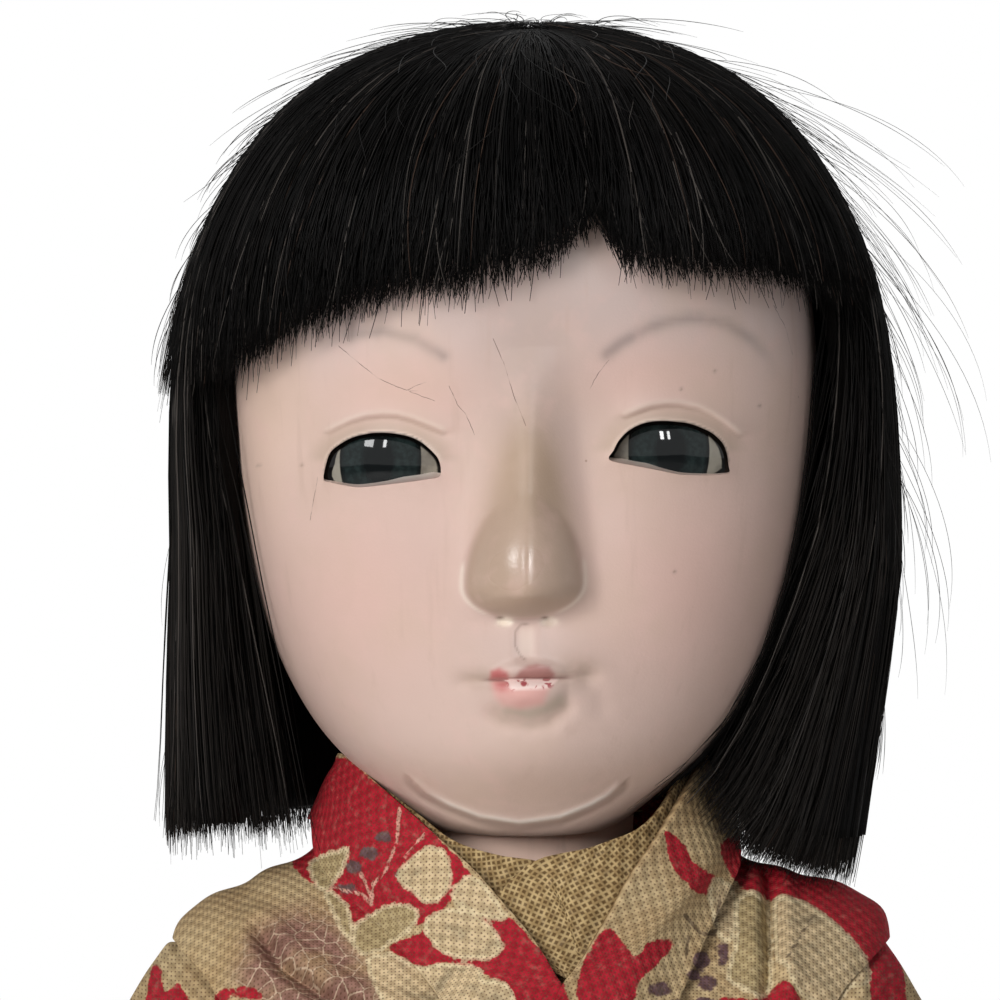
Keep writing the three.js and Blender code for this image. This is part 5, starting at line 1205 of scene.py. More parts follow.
CREAM_PETALS = [
    [(-13.9, 315.5), (-11.8, 316.8), (-9.8, 315.9), (-9.3, 313), (-10.4, 310.6), (-12.1, 310),
     (-14.3, 311.6), (-15.9, 313)],
    [(-8.9, 310.9), (-6.8, 313.2), (-4.3, 311.3), (-2.3, 308.2), (-4.3, 308.1), (-7.5, 309.5)],
    [(-12.3, 307), (-10.7, 308.6), (-7.2, 308.8), (-4.3, 307), (-2.7, 304.5), (-4.3, 303.1), (-8.2, 303.1),
     (-11.1, 304.5)],
    [(-19.6, 302.4), (-16.8, 303), (-13.2, 301.5), (-10, 302), (-5.7, 301.6), (-5.2, 299.9), (-2.9, 300),
     (-1.4, 298.1), (-1.8, 293), (-15.4, 293), (-17.1, 296.6), (-18.9, 299.5)],
    [(23.9, 311), (24.9, 312.4), (26.7, 311.3), (27.4, 308.6), (26.7, 305.1), (25.3, 305.1), (24.6, 307.5)],
    [(32.6, 309.3), (33.6, 310), (37.5, 308.4), (41.3, 305.4), (44.1, 301.9), (44.4, 299.2), (41.7, 298.5),
     (40.3, 296), (37.1, 296.7), (34.7, 299.5), (33.6, 301.9), (32.6, 302.3), (32.4, 306.1)],
]
# Small dark leaves, as [across, up, half-width, half-height].
DARK_LEAVES = [
    (-17.8, 318, 1.0, 0.7), (-19.6, 315.9, 1.2, 0.8), (-21.6, 314.1, 1.1, 0.8), (-22.5, 311.3, 1.4, 0.6),
    (-15.5, 313.2, 0.8, 0.7), (-13.2, 312, 0.9, 0.6), (22.8, 302.3, 1.2, 1.1), (25.6, 303, 0.7, 1.5),
    (21.8, 300.5, 0.9, 0.8), (23.4, 299.5, 1.4, 0.9), (17.3, 299, 1.5, 0.9), (23.2, 296.9, 1.5, 0.8),
    (15.7, 296.4, 1.3, 0.7), (19.4, 296.7, 1.1, 0.9),
]
PALE_STEMS = [
    [(-15.7, 321.8), (-16.1, 317.3), (-17.5, 313.8), (-19.1, 312), (-19.3, 309.5)],
    [(-12.3, 318.7), (-15, 315.5)],
    [(-20.7, 313.4), (-19.3, 310.4)],
    [(-24.6, 311.3), (-20.7, 310.7), (-19.3, 309.3)],
]
DARK_VEINS = [
    [(20.6, 308.2), (22.5, 305.8), (24.6, 305.4), (25.3, 310.3)],
    [(33.6, 302.3), (37.3, 307.5)],
    [(21.1, 305.4), (20.8, 303)],
    [(24.6, 305.4), (24.6, 302.6)],
]
PLUM_CLOUD = [(-34.2, 305.9), (-26, 308.4), (-20.7, 302.7), (-17.8, 296.6), (-26, 293), (-36, 298.4)]
PRINT_LOW = 291.0


def lay_print(piece):
    """Notes how far each point of the cloth lies from the outlines of the pattern in front."""
    x, y, z = points_of(piece).T
    front = (y < 5) & (z > PRINT_LOW - 6)
    x, z = x[front], z[front]

    def keep(name, values, elsewhere=9.0):
        full = np.full(len(front), elsewhere)
        full[front] = values
        note(piece, name, full)

    areas = {"red_ground": RED_GROUND, "khaki_leaf": KHAKI_LEAVES, "cream_petal": CREAM_PETALS,
             "plum_cloud": [PLUM_CLOUD]}
    for name, outlines in areas.items():
        keep(name, np.min([outline_distance(x, z, rounded(shape, 48).tolist()) for shape in outlines], 0))
    leaves = [(np.hypot((x - cx) / w, (z - cz) / h) - 1) * min(w, h) for cx, cz, w, h in DARK_LEAVES]
    keep("dark_leaf", np.min(leaves, 0))
    for name, lines in (("pale_stem", PALE_STEMS), ("dark_vein", DARK_VEINS)):
        keep(name, np.min([line_distance(x, z, line)[0] for line in lines], 0))
    keep("in_front", z - PRINT_LOW + 10, 0.0)


def front_print(cloth):
    """The pattern over the breast: petals, leaves and pale stems on the red and tan grounds."""
    tree = tree_of(cloth)
    wander = calc("MULTIPLY_ADD", mottle(cloth, 1.1), 1.1, -0.55)

    def inside(name, soft=0.12, grow=0.0):
        return span(plus(reading(tree, name), wander), grow + soft, grow - soft)

    def drawn(name, waver, wide, core, strength):
        return times(span(plus(reading(tree, name), times(wander, waver)), wide, core), strength)

    cloud = mottle(cloth, 7)
    colour = over(span(cloud, 0.35, 0.7), tint(188, 160, 118), tint(204, 180, 138))
    plum = times(inside("plum_cloud", 2.5), span(cloud, 0.3, 0.55, 0.35, 0.9))
    colour = over(plum, colour, tint(142, 100, 92))
    net = cells(cloth, 480.0, feature="DISTANCE_TO_EDGE", voronoi_dimensions="2D")["Distance"]
    net = times(span(net, 0.06, 0.02), inside("plum_cloud", 2.0))
    colour = over(times(net, 0.6), colour, tint(226, 204, 176))
    colour = over(inside("red_ground"), colour, over(cloud, RED, tint(180, 34, 50)))
    colour = over(inside("dark_leaf", 0.16), colour, tint(104, 78, 80))
    colour = over(inside("khaki_leaf"), colour, over(cloud, tint(158, 138, 98), tint(196, 176, 132)))
    smear = span(mottle(cloth, 4), 0.5, 0.68, 0, 0.7)
    colour = over(inside("cream_petal"), colour, over(smear, tint(216, 192, 152), tint(146, 132, 104)))
    for name in ("khaki_leaf", "cream_petal"):
        rim = times(inside(name, 0.12, 0.3), less(1.0, inside(name, 0.12, -0.3)))
        colour = over(times(rim, 0.7), colour, tint(230, 212, 172))
    colour = over(drawn("pale_stem", 0.6, 0.30, 0.12, 0.85), colour, tint(222, 170, 150))
    return over(drawn("dark_vein", 0.5, 0.30, 0.14, 0.7), colour, tint(84, 66, 54))


def blossom_print(cloth):
    """The printed pattern: scalloped five-petalled blossoms and leaves, each outlined in cream."""
    in_front = front_print(cloth)
    cloth = wavering(cloth, 120.0, 1.0, 0.002)

    def motif(size, shift, spread):
        """Scattered motifs: how far and which way from the nearest one's middle, and its three chances."""
        laid = moved("ADD", cloth, (shift, shift * 0.7, 0))[0]
        cell = cells(laid, 1000 / size, spread, voronoi_dimensions="2D")
        local = moved("SUBTRACT", laid, cell["Position"])[0]
        x, y, _ = parts(local)
        away = times(moved("LENGTH", local)["Value"], 1000)
        return away, calc("ARCTAN2", y, x), parts(cell["Color"], "Color")

    patch = span(mottle(cloth, 42, 2.0), 0.49, 0.53)
    cloud = span(mottle(cloth, 16), 0.50, 0.68)
    colour = over(cloud, over(patch, RED, TAN), over(patch, tint(150, 30, 42), PLUM_TAN))

    away, turn, (lie, shown, kind) = motif(8.5, 0.21, 0.9)
    lean = less(turn, times(lie, 6.28))
    along, aside = (calc("ABSOLUTE", times(away, calc(way, lean))) for way in ("COSINE", "SINE"))
    edge = less(less(1.5, times(times(along, along), 0.11)), aside)
    leaf = times(span(edge, 0.0, 0.12), span(shown, 0.35, 0.36))
    colour = over(leaf, colour, over(span(kind, 0.5, 0.52), PLUM, LEAF))
    colour = over(times(span(aside, 0.2, 0.1), leaf), colour, TAN)

    for size, shift, reach, kept in ((13.0, 0.0, 6.6, 0.18), (17.0, 0.55, 8.2, 0.55)):
        away, turn, (grown, shown, kind) = motif(size, shift, 0.62)
        petals = calc("ABSOLUTE", calc("COSINE", plus(times(turn, 2.5), times(kind, 6.28))))
        edge = calc("MULTIPLY_ADD", grown, reach * 0.38, reach * 0.62)
        edge = times(edge, calc("MULTIPLY_ADD", calc("POWER", petals, 0.6), 0.34, 0.66))
        inside = less(edge, away)
        flower = times(span(inside, 0.0, 0.15), span(shown, kept, kept + 0.01))
        fill = over(span(kind, 0.42, 0.43), TAN, CREAM)
        fill = over(span(kind, 0.80, 0.81), fill, PLUM_TAN)
        deep = calc("DIVIDE", away, calc("MAXIMUM", edge, 0.1))
        fill = over(span(deep, 0.75, 0.2, 0, 0.55), fill, PLUM_TAN)
        rays = times(span(petals, 0.955, 0.985), span(deep, 0.72, 0.62))
        fill = over(times(rays, 0.75), fill, PLUM)
        fill = over(span(away, 1.0, 0.8), fill, RED)
        fill = over(span(inside, 0.75, 0.55), fill, CREAM)
        colour = over(flower, colour, fill)
    above = plus(reading(tree_of(cloth), "in_front"), calc("MULTIPLY_ADD", mottle(cloth, 9), 16.0, -8.0))
    return over(span(above, 9.7, 10.3), colour, in_front)


KIMONO_PRINT = woven("printed_cotton", tint(220, 205, 185), tint(96, 66, 48), 0.5, 0.45, blossom_print)
BODICE_COLUMNS, BODICE_ROWS, ARMHOLE_SIDES = 280, 160, 72
BACK_SHIFT, CLOTH_TOP = 400.0, 330.0
angle = once_round(BODICE_COLUMNS)[None]
down = np.linspace(1.7, 8.0, BODICE_ROWS)[:, None]
flat_x = bodice_point(angle, down)
out = bodice_outward(angle, down)
x, y, z = np.moveaxis(flat_x, -1, 0)
wide = np.abs(x)
shoulder_fold = bell(z + 0.55 * (wide - 30), 303, 2.0) * ease(22, 30, wide) * ease(42, 36, wide)
creases = (0.55 * np.sin(0.30 * x + 0.16 * z + 1.5 * np.sin(0.05 * z)) * ease(306, 262, z)
           + 0.7 * shoulder_fold + 0.15 * np.sin(0.7 * wide - 0.45 * z))
creases = creases * ease(2.6, 3.8, down) * ease(8.0, 7.2, down)
for depth, fold in DEEP_FOLDS:
    away, _ = line_distance(x, z, fold)
    furrow = 0.6 * bell(away, 2.2, 1.4) - bell(away, 0, 1.0)
    creases += ease(0, -8, y) * depth * furrow
outer = flat_x + out * creases[..., None]
bodice = mesh_piece("bodice", *closed_sheet(outer, outer - out * CLOTH, True))
for side in (1, -1):
    angle = once_round(ARMHOLE_SIDES)
    rings = []
    for along, snug, swung in ARMHOLE:
        reach = swung + (snug - swung) * ease(-0.1, 0.3, np.sin(angle))
        rings.append(np.column_stack([np.full(len(angle), side * along), reach * np.cos(angle),
                                      SHOULDER_Z + reach * np.sin(angle)]))
    carve(bodice, mesh_piece("armhole", *skin(rings)))
x, y, z = points_of(bodice).T
laid = [x + BACK_SHIFT * (y > 0), CLOTH_TOP - z + 0.6 * np.abs(y), 0 * x]
note(bodice, "cloth", np.column_stack(laid) / 1000)
lay_print(bodice)
bodice.data.set_sharp_from_angle(angle=math.radians(60))
fasten(bodice, KIMONO_PRINT, "kimono_print", "trunk", "kimono_bodice")

# The collars: straight bands sewn round the neck edge and crossed in front, left over right.
# The under-collars are of stiff open-weave scrim, the kimono's own are of the printed cotton, folded double.
KIMONO_COLLARS = {
    "right": [(-21.5, 326), (-15.5, 322.3), (-8.6, 316.4), (-2.5, 309.6), (3.3, 301), (8, 291), (12, 280),
              (15.5, 267), (18.5, 252), (20, 242)],
    "left": [(21.5, 326), (18.2, 322), (14.3, 316.2), (10.3, 309.6), (5.6, 299.8), (0, 288), (-5, 277),
             (-9.5, 265), (-13, 252), (-15, 242)],
}
UNDER_COLLARS = {
    "right": [(-20.2, 326.5), (-14, 322), (-8.9, 317.6), (-3, 315.6), (2.2, 314.6), (7, 309), (11, 302)],
    "left": [(20.2, 326.5), (15.1, 319.6), (9, 316.6), (2.2, 315.0), (-2.9, 310.4), (-7, 304.5), (-10, 299)],
}
NAPE_TURNS = (89.2, 60, 35, 12)
SCRIM_WIDTH, COLLAR_WIDTH = 13.5, 14.0
OBI_TOP = 246.3


def step_across(angle, down, ahead, length):
    """A short step over the bodice, square to a direction and away from the neck."""
    nudge = 0.02
    here = bodice_point(angle, down)
    per_angle = (bodice_point(angle + nudge, down) - here) / nudge
    per_down = (bodice_point(angle, np.minimum(down + nudge, 8)) - here) / nudge
    sideways = unit(np.cross(ahead, bodice_outward(angle, down)))
    sideways = sideways * np.sign((sideways * per_down).sum(-1, keepdims=True))
    aa, ad, dd = (per_angle**2).sum(-1), (per_angle*per_down).sum(-1), (per_down**2).sum(-1)
    sa, sd = (per_angle*sideways).sum(-1), (per_down*sideways).sum(-1)
    size = aa * dd - ad * ad
    return angle + length * (sa*dd - sd*ad) / size, down + length * (sd*aa - sa*ad) / size


def front_place(x, z):
    """The angle round the bodice and the place down it of a point seen from in front."""
    down = np.linspace(0, 8, 1601)
    half, _, _, side_z, front_z, _ = through(BODICE_STATIONS, down).T
    cosine = np.clip(x / half, -1, 1)
    best = np.argmin(np.abs(side_z + (front_z - side_z) * (1 - cosine ** 2) - z))
    return -math.acos(cosine[best]), down[best]


def collar(name, edge, nape, width, thick, low, high, tail=0.0, bias=0.0):
    """A band of cloth along the neck edge, lifted off the bodice and higher where it crosses in front."""
    side = 1 if edge[0][0] > 0 else -1
    places = [(math.pi / 2 - side * (math.pi / 2 - math.radians(a)), nape) for a in NAPE_TURNS]
    for x, z in edge:
        angle, down = front_place(x, z)
        places.append((angle if side > 0 else angle + 2 * math.pi, down))
    path = through(places, np.linspace(0, len(places) - 1, 240))
    angle, down = path.T
    ahead = unit(np.gradient(bodice_point(angle, down), axis=0))
    spots = [(angle, down)]
    columns, small = 31, 3
    for _ in range(columns - 1):
        for _ in range(small):
            narrow = 0.6 + 0.4 * ease(0.1, 0.62, -np.sin(path[:, 0]))
            angle, down = step_across(angle, down, ahead, narrow * width / (columns - 1) / small)
        spots.append((angle, down))
    angle = np.stack([a for a, _ in spots], 1)
    down = np.stack([d for _, d in spots], 1)
    base = low + (high - low) * ease(0.3, 0.85, -np.sin(angle[:, :1]))
    v = np.linspace(0, width, columns)[None]
    surface, out = bodice_point(angle, down), bodice_outward(angle, down)
    if thick > 1:
        inner_z, edge_z = surface[:, :1, 2], surface[:, -1:, 2]
        if tail:
            base = base + (0.8 - base) * ease(296, 290, inner_z)
        rest = 0.5 if tail else 0.7 + 1.9 * ease(291, 284, edge_z) * ease(260, 268, edge_z)
        base = base + (rest - base) * ease(0.45, 1, v / width) * ease(0.3, 0.85, -np.sin(angle[:, :1]))
    steps = np.linalg.norm(np.diff(bodice_point(*spots[5]), axis=0), axis=-1)
    run = np.concatenate([[0], np.cumsum(steps)])[:, None]
    puff = 0.5 * bell(v, 0, 1.1) + 0.25 * np.sin(run * 0.21 + v * 0.3) * np.sin(math.pi * v / width)
    outer = surface + out * (base + thick + puff)[..., None]
    inner = surface + out * (base + 0.15 * puff)[..., None]
    keep = (surface[:, :, 2].min(1) > OBI_TOP - 6) & (surface[:, 0, 2] > tail)
    outer, inner = outer[keep], inner[keep]
    outer[..., 2] = np.maximum(outer[..., 2], OBI_TOP)
    inner[..., 2] = np.maximum(inner[..., 2], OBI_TOP)
    band = mesh_piece(name, *closed_sheet(outer, inner))
    along, across = np.broadcast_arrays(run, v)
    cosine, sine = math.cos(bias), math.sin(bias)
    lay_cloth(band, together(along * cosine - across * sine, along * sine + across * cosine)[keep])
    return band, float(run[keep].max())


SCRIM = woven("scrim", tint(196, 170, 122), tint(88, 62, 32), 0.66, 0.5, openness=0.9)
for label, lift, tail, bias in (("right", 0.6, 0.0, 0.35), ("left", 2.3, 306.0, -0.3)):
    band, length = collar(f"{label}_scrim_collar", UNDER_COLLARS[label], 0.1, SCRIM_WIDTH, 0.55, 0.5, lift,
                          tail, bias)
    fasten(band, SCRIM, "scrim", "trunk", f"{label}_under_collar")
for label, lift, tail in (("right", 3.0, 281.0), ("left", 4.8, 0.0)):
    band, length = collar(f"{label}_collar", KIMONO_COLLARS[label], 0.8, COLLAR_WIDTH, 1.1, 1.7, lift, tail)
    lay_print(band)
    fasten(band, KIMONO_PRINT, "kimono_print", "trunk", f"{label}_kimono_collar")

# The skirt of the kimono: panels wrapped round the legs from the sash to the feet, falling in soft folds.
# The left front panel laps over the right one, and the hem is turned up inside.
SKIRT_STATIONS = [(34.5, 26.5, 24.5, 221.7), (36.5, 27.5, 26, 205.7), (40, 29, 29, 165), (41.5, 31, 31, 120),
                  (41, 32.5, 32, 60), (40.5, 33.5, 33, 22)]
SKIRT_END = len(SKIRT_STATIONS) - 1
LAP_FROM, LAP_TO, LAP_TOP = -18, -128, 1.0


def skirt_point(angle, down, offset):
    half, front, back, height = np.moveaxis(through(SKIRT_STATIONS, down), -1, 0)
    hang = ease(1, 5, down)
    fold = hang * (0.8 * np.cos(8 * angle) + 0.35 * np.sin(13 * angle + 0.6 * down)
                   + 0.3 * np.sin(5 * angle - down))
    sag = 0.3 * np.sin(height * 0.22 + 3 * angle) * ease(0, 1.5, down)
    grow = fold + sag + offset
    sine = np.sin(angle)
    reach = np.where(sine < 0, front, back)
    return together((half + grow) * np.cos(angle), (reach + grow) * sine, height)


def hem_roll(down):
    """The turned hem makes the cloth a little thicker at its lower edge."""
    return 0.45 * ease(SKIRT_END - 0.12, SKIRT_END - 0.06, down)


angle = once_round(260)[None]
down = np.linspace(0, SKIRT_END, 130)[:, None]
outer, inner = skirt_point(angle, down, 0), skirt_point(angle, down, -CLOTH - hem_roll(down))
skirt = mesh_piece("skirt", *closed_sheet(outer, inner, True))
lay_cloth(skirt, flat_run(outer) + np.array([0, 260]))
angle = np.radians(np.linspace(LAP_FROM, LAP_TO, 130))[None]
down = np.linspace(LAP_TOP, SKIRT_END, 110)[:, None]
flare = 0.5 + 0.5 * ease(LAP_TO + 10, LAP_TO, np.degrees(angle)) + 0 * down
outer, inner = (skirt_point(angle, down, lift) for lift in (CLOTH + flare, flare - hem_roll(down) * 0.5))
lap = mesh_piece("front_lap", *closed_sheet(outer, inner))
lay_cloth(lap, flat_run(skirt_point(angle, down, 1)) + np.array([90, 290]))
for piece, node, flat in ((skirt, "kimono_skirt", (0.245, 0.202)), (lap, "kimono_front_lap", (0.072, 0.186))):
    piece.data.materials.append(KIMONO_PRINT)
    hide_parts(node)
    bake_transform(piece)

# The sleeves: deep bags of the same cotton hung from the armholes along the arms.
# They are open at the cuff for the hand and sewn shut below it, with the outer corner rounded.
SLEEVE_STATIONS = [
    # out from the middle, top, depth at the arm, lower edge, half-depth at that edge
    (36.6, 303.0, 16.3, 271.5, 11), (40.0, 303.4, 16.5, 271.0, 11.5), (44.0, 303.8, 16.4, 266.0, 12),
    (47.8, 299.5, 14.5, 240.0, 9), (51.5, 293.5, 13.8, 140.0, 4.6), (58.3, 281.0, 13.2, 127.0, 3.6),
    (66.0, 264.5, 13.0, 125.6, 3.4), (73.0, 250.0, 13.0, 125.6, 3.2), (80.0, 237.5, 12.6, 126.4, 2.6),
    (85.0, 229.6, 12.0, 130.0, 1.2),
]
CUFF_LOW, ARM_FALL = 177.6, 1.732
SLEEVE_CLOTH = 0.9
PRINT_BACK, PRINT_DOWN, PRINT_APART = 120, 800, 40
for side, label in SIDES:
    place_out = np.linspace(0, len(SLEEVE_STATIONS) - 1, 120)[:, None]
    out_x, top, deep, low, foot = np.moveaxis(through(SLEEVE_STATIONS, place_out), -1, 0)
    lift, full = (3.2, 47.0) if side > 0 else (1.7, 46.4)
    top = top + lift * ease(44.2, full, out_x) * ease(64, 52, out_x)
    turn = once_round(200)[None]
    height = (1 - np.cos(turn)) / 2
    z = top + (low - top) * height
    fall = np.maximum(SHOULDER_Z - (out_x - SHOULDER_X) * ARM_FALL, low + 20)
    arm_z = np.where(out_x < 44, SHOULDER_Z, fall)
    upper = np.clip((z - arm_z) / np.maximum(top - arm_z, 1), 0, 1)
    lower = np.clip((arm_z - z) / np.maximum(arm_z - low, 1), 0, 1)
    over_arm = deep * np.sqrt(np.clip(1 - upper ** 2, 0, 1))
    half = np.where(z > arm_z, over_arm, deep + (foot - deep) * ease(0, 0.9, lower))
    half = half * np.where(z > arm_z, 1, np.sqrt(np.clip(1 - lower ** 14, 0, 1)))
    sewn = ease(77, 85, out_x) * ease(CUFF_LOW + 14, CUFF_LOW - 6, z)
    half = half * (1 - sewn) + np.minimum(half, 1.3) * sewn
    loose = ease(46, 56, out_x) * ease(0, 0.25, lower) * ease(1.0, 0.92, lower)
    ripple = loose * (0.8 * np.sin(out_x * 0.33 + 0.04 * z) + 0.5 * np.sin(out_x * 0.75 - 0.07 * z + 1))
    facing = np.where(turn < math.pi, -1, 1)

    def wall(inset):
        shrink = np.clip((half - inset) / np.maximum(half, 0.01), 0, 1)
        middle = (top + low) / 2
        zz = middle + (z - middle) * (1 - 2 * inset / (top - low))
        return together(side * out_x, facing * half * shrink + ripple, zz)

    sleeve = mesh_piece(f"{label}_sleeve_bag", *closed_sheet(wall(0), wall(SLEEVE_CLOTH), True))
    lay_cloth(sleeve, together(out_x + PRINT_BACK * (facing > 0), PRINT_DOWN - z + PRINT_APART * side))
    lay_print(sleeve)
    fasten(sleeve, KIMONO_PRINT, "kimono_print", f"{label}_arm", f"{label}_sleeve")

# The obi: a stiff brocade sash wound round the waist over the kimono's fold, with a twisted cord over it.
# Behind it is tied in a bow, a flattened knot with a doubled loop at each side.
OBI_LOW, OBI_HIGH, WAIST_Z = 206.0, 246.0, 222.0
WAIST_HALF, WAIST_FRONT, WAIST_BACK = 34.5, 26.5, 24.5
SASH_OUTSIDE, SASH_INSIDE = 3.7, 1.0


def brocade(cloth):
    """Olive and gold: small lozenges in rows over a ribbed ground."""
    x, y, _ = parts(cloth)
    turn = 1000 * math.pi / 6
    lozenge = times(wave(plus(x, y), turn), wave(less(x, y), turn))
    colour = over(span(lozenge, 0.28, 0.34), tint(120, 98, 54), tint(196, 160, 92))
    colour = over(span(lozenge, 0.78, 0.82), colour, tint(140, 44, 44))
    return over(span(mottle(cloth, 9), 0.4, 0.8, 0, 0.3), colour, tint(104, 84, 50))


OBI_CLOTH = woven("obi_brocade", tint(206, 186, 140), tint(70, 54, 28), 0.5, 0.35, brocade, 0.55)


def sash_point(angle, z, offset):
    grow = ((z - WAIST_Z) / 20) ** 2 * 2.2 + offset
    sine = np.sin(angle)
    reach = np.where(sine < 0, WAIST_FRONT, WAIST_BACK) + grow
    return together((WAIST_HALF + grow) * np.cos(angle), reach * sine, z)


angle = once_round(240)[None]
z = np.linspace(OBI_HIGH, OBI_LOW, 60)[:, None]
ends = 0.35 * (ease(OBI_LOW + 1.6, OBI_LOW, z) + ease(OBI_HIGH - 1.6, OBI_HIGH, z))
wrap = 0.25 * np.sin(z * 0.55 + 2 * np.sin(angle)) - ends
outer, inner = sash_point(angle, z, SASH_OUTSIDE + wrap), sash_point(angle, z, SASH_INSIDE + ends)
sash = mesh_piece("obi_sash", *closed_sheet(outer, inner, True))
lay_cloth(sash, flat_run(sash_point(angle, z, SASH_OUTSIDE)))
fasten(sash, OBI_CLOTH, "obi_cloth", "trunk", "obi_band")

CORD_STEPS, CORD_SIDES, CORD_TURNS = 420, 18, 48
CORD_RADIUS, CORD_STRAND, CORD_OUT = 1.42, 0.26, 5.8
around = once_round(CORD_STEPS)
centre = sash_point(around, np.full(CORD_STEPS, WAIST_Z), CORD_OUT)
outward = unit(centre * np.array([1, 1, 0]))
turn = once_round(CORD_SIDES)[None]
lay = turn - CORD_TURNS * around[:, None]
radius = CORD_RADIUS + CORD_STRAND * np.abs(np.cos(1.5 * lay))
cord_rings = (centre[:, None] + outward[:, None] * (np.cos(turn) * radius)[..., None]
              + np.array([0, 0, 1.0]) * (np.sin(turn) * radius)[..., None])
last, following = (CORD_STEPS - 1) * CORD_SIDES, np.roll(np.arange(CORD_SIDES), -1)
faces = grid_faces(CORD_STEPS, CORD_SIDES, True).tolist()
faces += [[last + i, last + following[i], following[i], i] for i in range(CORD_SIDES)]
cord = mesh_piece("obi_cord_twist", cord_rings.reshape(-1, 3), faces)
CORD_SILK = plain_finish("cord_silk", tint(150, 36, 42), tint(118, 24, 34), 0.6, 0.6)
fasten(cord, CORD_SILK, "obi_cord", "trunk", "obi_cord")

BOW_Y, BOW_Z = 37.8, 226.0
KNOT_HALF, KNOT_DEPTH, KNOT_RISE = 9.0, 5.4, 12.8
lean = np.linspace(0.02, math.pi - 0.02, 60)[:, None]
turn = once_round(90)[None]
tuck = 1 + 0.035 * np.sin(9 * turn) * np.sin(lean) + 0.02 * np.sin(4 * turn + 2)
knot_rings = together(KNOT_HALF * tuck * np.sin(lean) * np.cos(turn),
                      BOW_Y + KNOT_DEPTH * tuck * np.sin(lean) * np.sin(turn),
                      BOW_Z + KNOT_RISE * np.cos(lean))
knot = mesh_piece("obi_bow_knot", *skin(knot_rings))
lay_cloth(knot, flat_run(knot_rings), 1)
fasten(knot, OBI_CLOTH, "obi_cloth", "trunk", "obi_knot")
LOOP_LENGTH, LOOP_DEPTH, LOOP_HEIGHT, LOOP_BAND, LOOP_DROOP = 34.0, 13.0, 34.0, 1.6, math.radians(14)
straight, bend = LOOP_LENGTH - LOOP_DEPTH, math.pi * LOOP_DEPTH / 2
total = 2 * straight + math.pi * LOOP_DEPTH
at = np.linspace(0, 1, 140, endpoint=False)[None] * total
up = np.linspace(-0.5, 0.5, 40)[:, None]
for side, label in SIDES:
    def stadium(inset):
        r = LOOP_DEPTH / 2 - inset
        first, second, third = straight, straight + bend, 2 * straight + bend
        a1 = (at - first) / (LOOP_DEPTH / 2)
        a2 = (at - third) / (LOOP_DEPTH / 2)
        stretch = [at < first, at < second, at < third]
        far = LOOP_LENGTH - LOOP_DEPTH / 2
        px = np.select(stretch, [LOOP_DEPTH / 2 + at, far + r * np.sin(a1), far - (at - second)],
                       LOOP_DEPTH / 2 - r * np.sin(a2))
        py = np.select(stretch, [-r, -r * np.cos(a1), r], r * np.cos(a2))
        pinch = 1 - 0.34 * ease(0.5, 0.0, px / LOOP_LENGTH)
        py = py * (1 - 0.25 * ease(0.45, 0.0, px / LOOP_LENGTH)) + 0.35 * np.sin(px * 0.5 + up * 4)
        pz = up * LOOP_HEIGHT * pinch
        x = px * math.cos(LOOP_DROOP) + pz * math.sin(LOOP_DROOP) + 4.3
        zz = pz * math.cos(LOOP_DROOP) - px * math.sin(LOOP_DROOP) + BOW_Z
        return together(side * x, py + BOW_Y + 1.0, zz)

    loop = mesh_piece(f"obi_bow_{label}", *closed_sheet(stadium(0), stadium(LOOP_BAND), True))
    lay_cloth(loop, together(at, up * LOOP_HEIGHT))
    fasten(loop, OBI_CLOTH, "obi_cloth", "trunk", f"obi_{label}_loop")

# The studio: a pale floor, a large soft lamp at the upper left, weaker ones at the right and behind.
# Narrow panes of light in front show only as glints, and the surround is white.
FLOOR_HALF, FACE_Z = 3.0, 0.36
floor_mesh = bpy.data.meshes.new("floor")
floor_corners = [(FLOOR_HALF * x, FLOOR_HALF * y, 0) for x, y in ((-1, -1), (1, -1), (1, 1), (-1, 1))]
floor_mesh.from_pydata(floor_corners, [], [(0, 1, 2, 3)])
floor = bpy.data.objects.new("floor", floor_mesh)
bpy.context.collection.objects.link(floor)
material, tree, shader = finish_of("pale_floor")
cloud = span(mottle(place_on(tree), 60), 0.3, 0.7)
feed(shader, {"Base Color": over(cloud, tint(236, 235, 233), tint(243, 242, 240)), "Roughness": 0.8})
floor.data.materials.append(material)


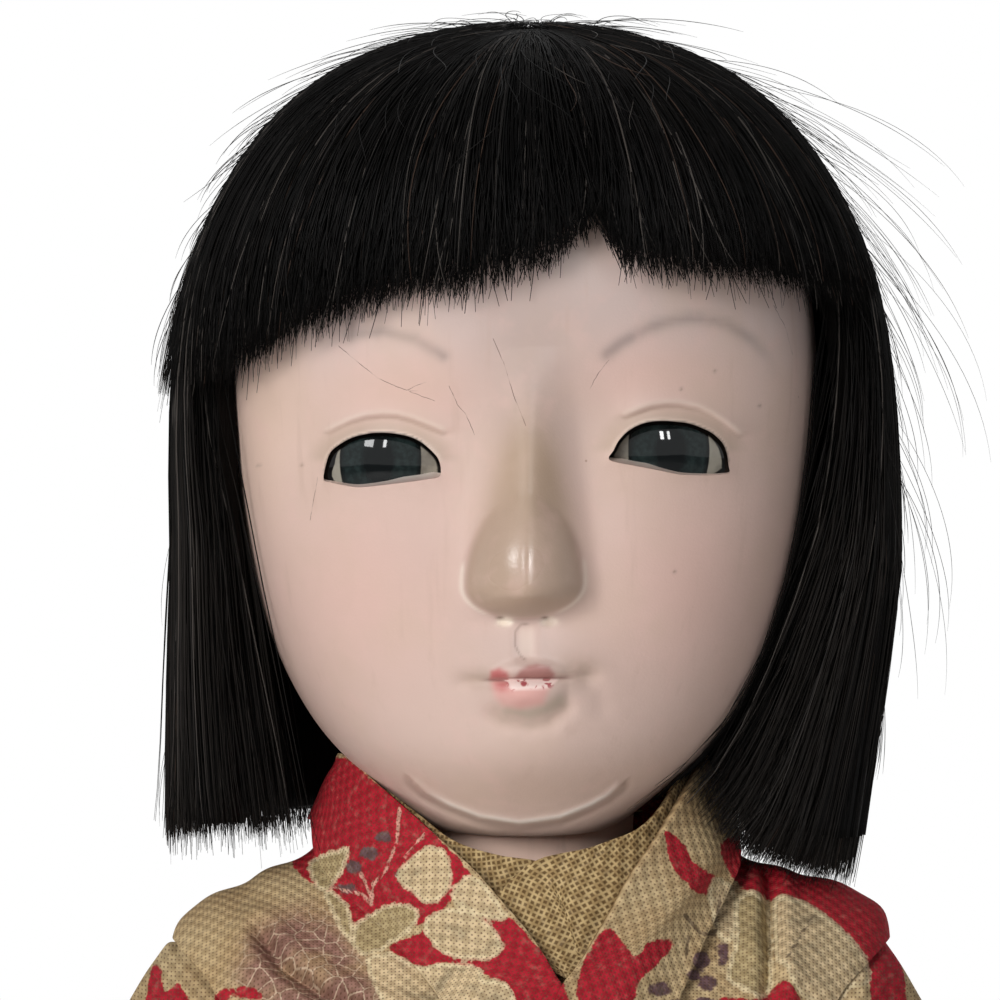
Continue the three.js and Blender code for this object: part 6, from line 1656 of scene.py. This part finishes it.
def lamp(name, at, towards, size, watts, colour=(1.0, 1.0, 1.0)):
    light = bpy.data.lights.new(name, "AREA")
    light.shape = "RECTANGLE"
    light.size, light.size_y = size
    light.energy = watts
    light.color = colour
    holder = bpy.data.objects.new(name, light)
    holder.location = at
    holder.rotation_euler = (Vector(towards) - Vector(at)).to_track_quat("-Z", "Y").to_euler()
    bpy.context.collection.objects.link(holder)
    return holder


lamp("window", (-0.58, -1.12, 0.66), (0, 0, 0.35), (0.55, 0.5), 12.6).visible_glossy = False
lamp("fill_right", (1.0, -0.8, 0.45), (0, 0, 0.33), (0.8, 0.8), 1.2, (0.97, 0.98, 1.0)).visible_glossy = False
lamp("fill_behind", (0.3, 1.3, 0.7), (0, 0, 0.25), (1.0, 0.8), 9.0).visible_glossy = False
# Each pane's turn from straight ahead, rise over the face, width and power.
PANES = [(-43, 0.43, 0.22, 3.4), (-19, 0.44, 0.08, 1.9), (16, 0.40, 0.08, 2.8), (26, 0.40, 0.07, 1.9)]
for turn, rise, width, watts in PANES:
    away = math.radians(turn)
    at = (math.sin(away), -math.cos(away), FACE_Z + rise)
    lamp(f"pane_{turn}", at, (0, 0, FACE_Z), (width, 0.20), watts).visible_diffuse = False
world = bpy.data.worlds.new("surround")
bpy.context.scene.world = world
world.use_nodes = True
tree = world.node_tree
path = put(tree, "LightPath", {}).outputs
seen = calc("MAXIMUM", path["Is Camera Ray"], path["Is Transmission Ray"])
seen = calc("MAXIMUM", seen, path["Is Glossy Ray"])
feed(tree.nodes["Background"], {"Color": over(seen, (0.15, 0.15, 0.155, 1), (1, 1, 1, 1)), "Strength": 1.0})

# The camera looks level at the face from a metre away, as the photograph does.
# Its long lens takes in the head and the collars.
camera_data = bpy.data.cameras.new("camera")
camera_data.lens = 288
camera_data.sensor_width = 36
camera = bpy.data.objects.new("camera", camera_data)
camera.location = (-0.0029, -1.039, 0.361)
camera.rotation_euler = (math.pi / 2, 0, 0)
bpy.context.collection.objects.link(camera)
bpy.context.scene.camera = camera
bpy.context.scene.view_settings.view_transform = "Standard"
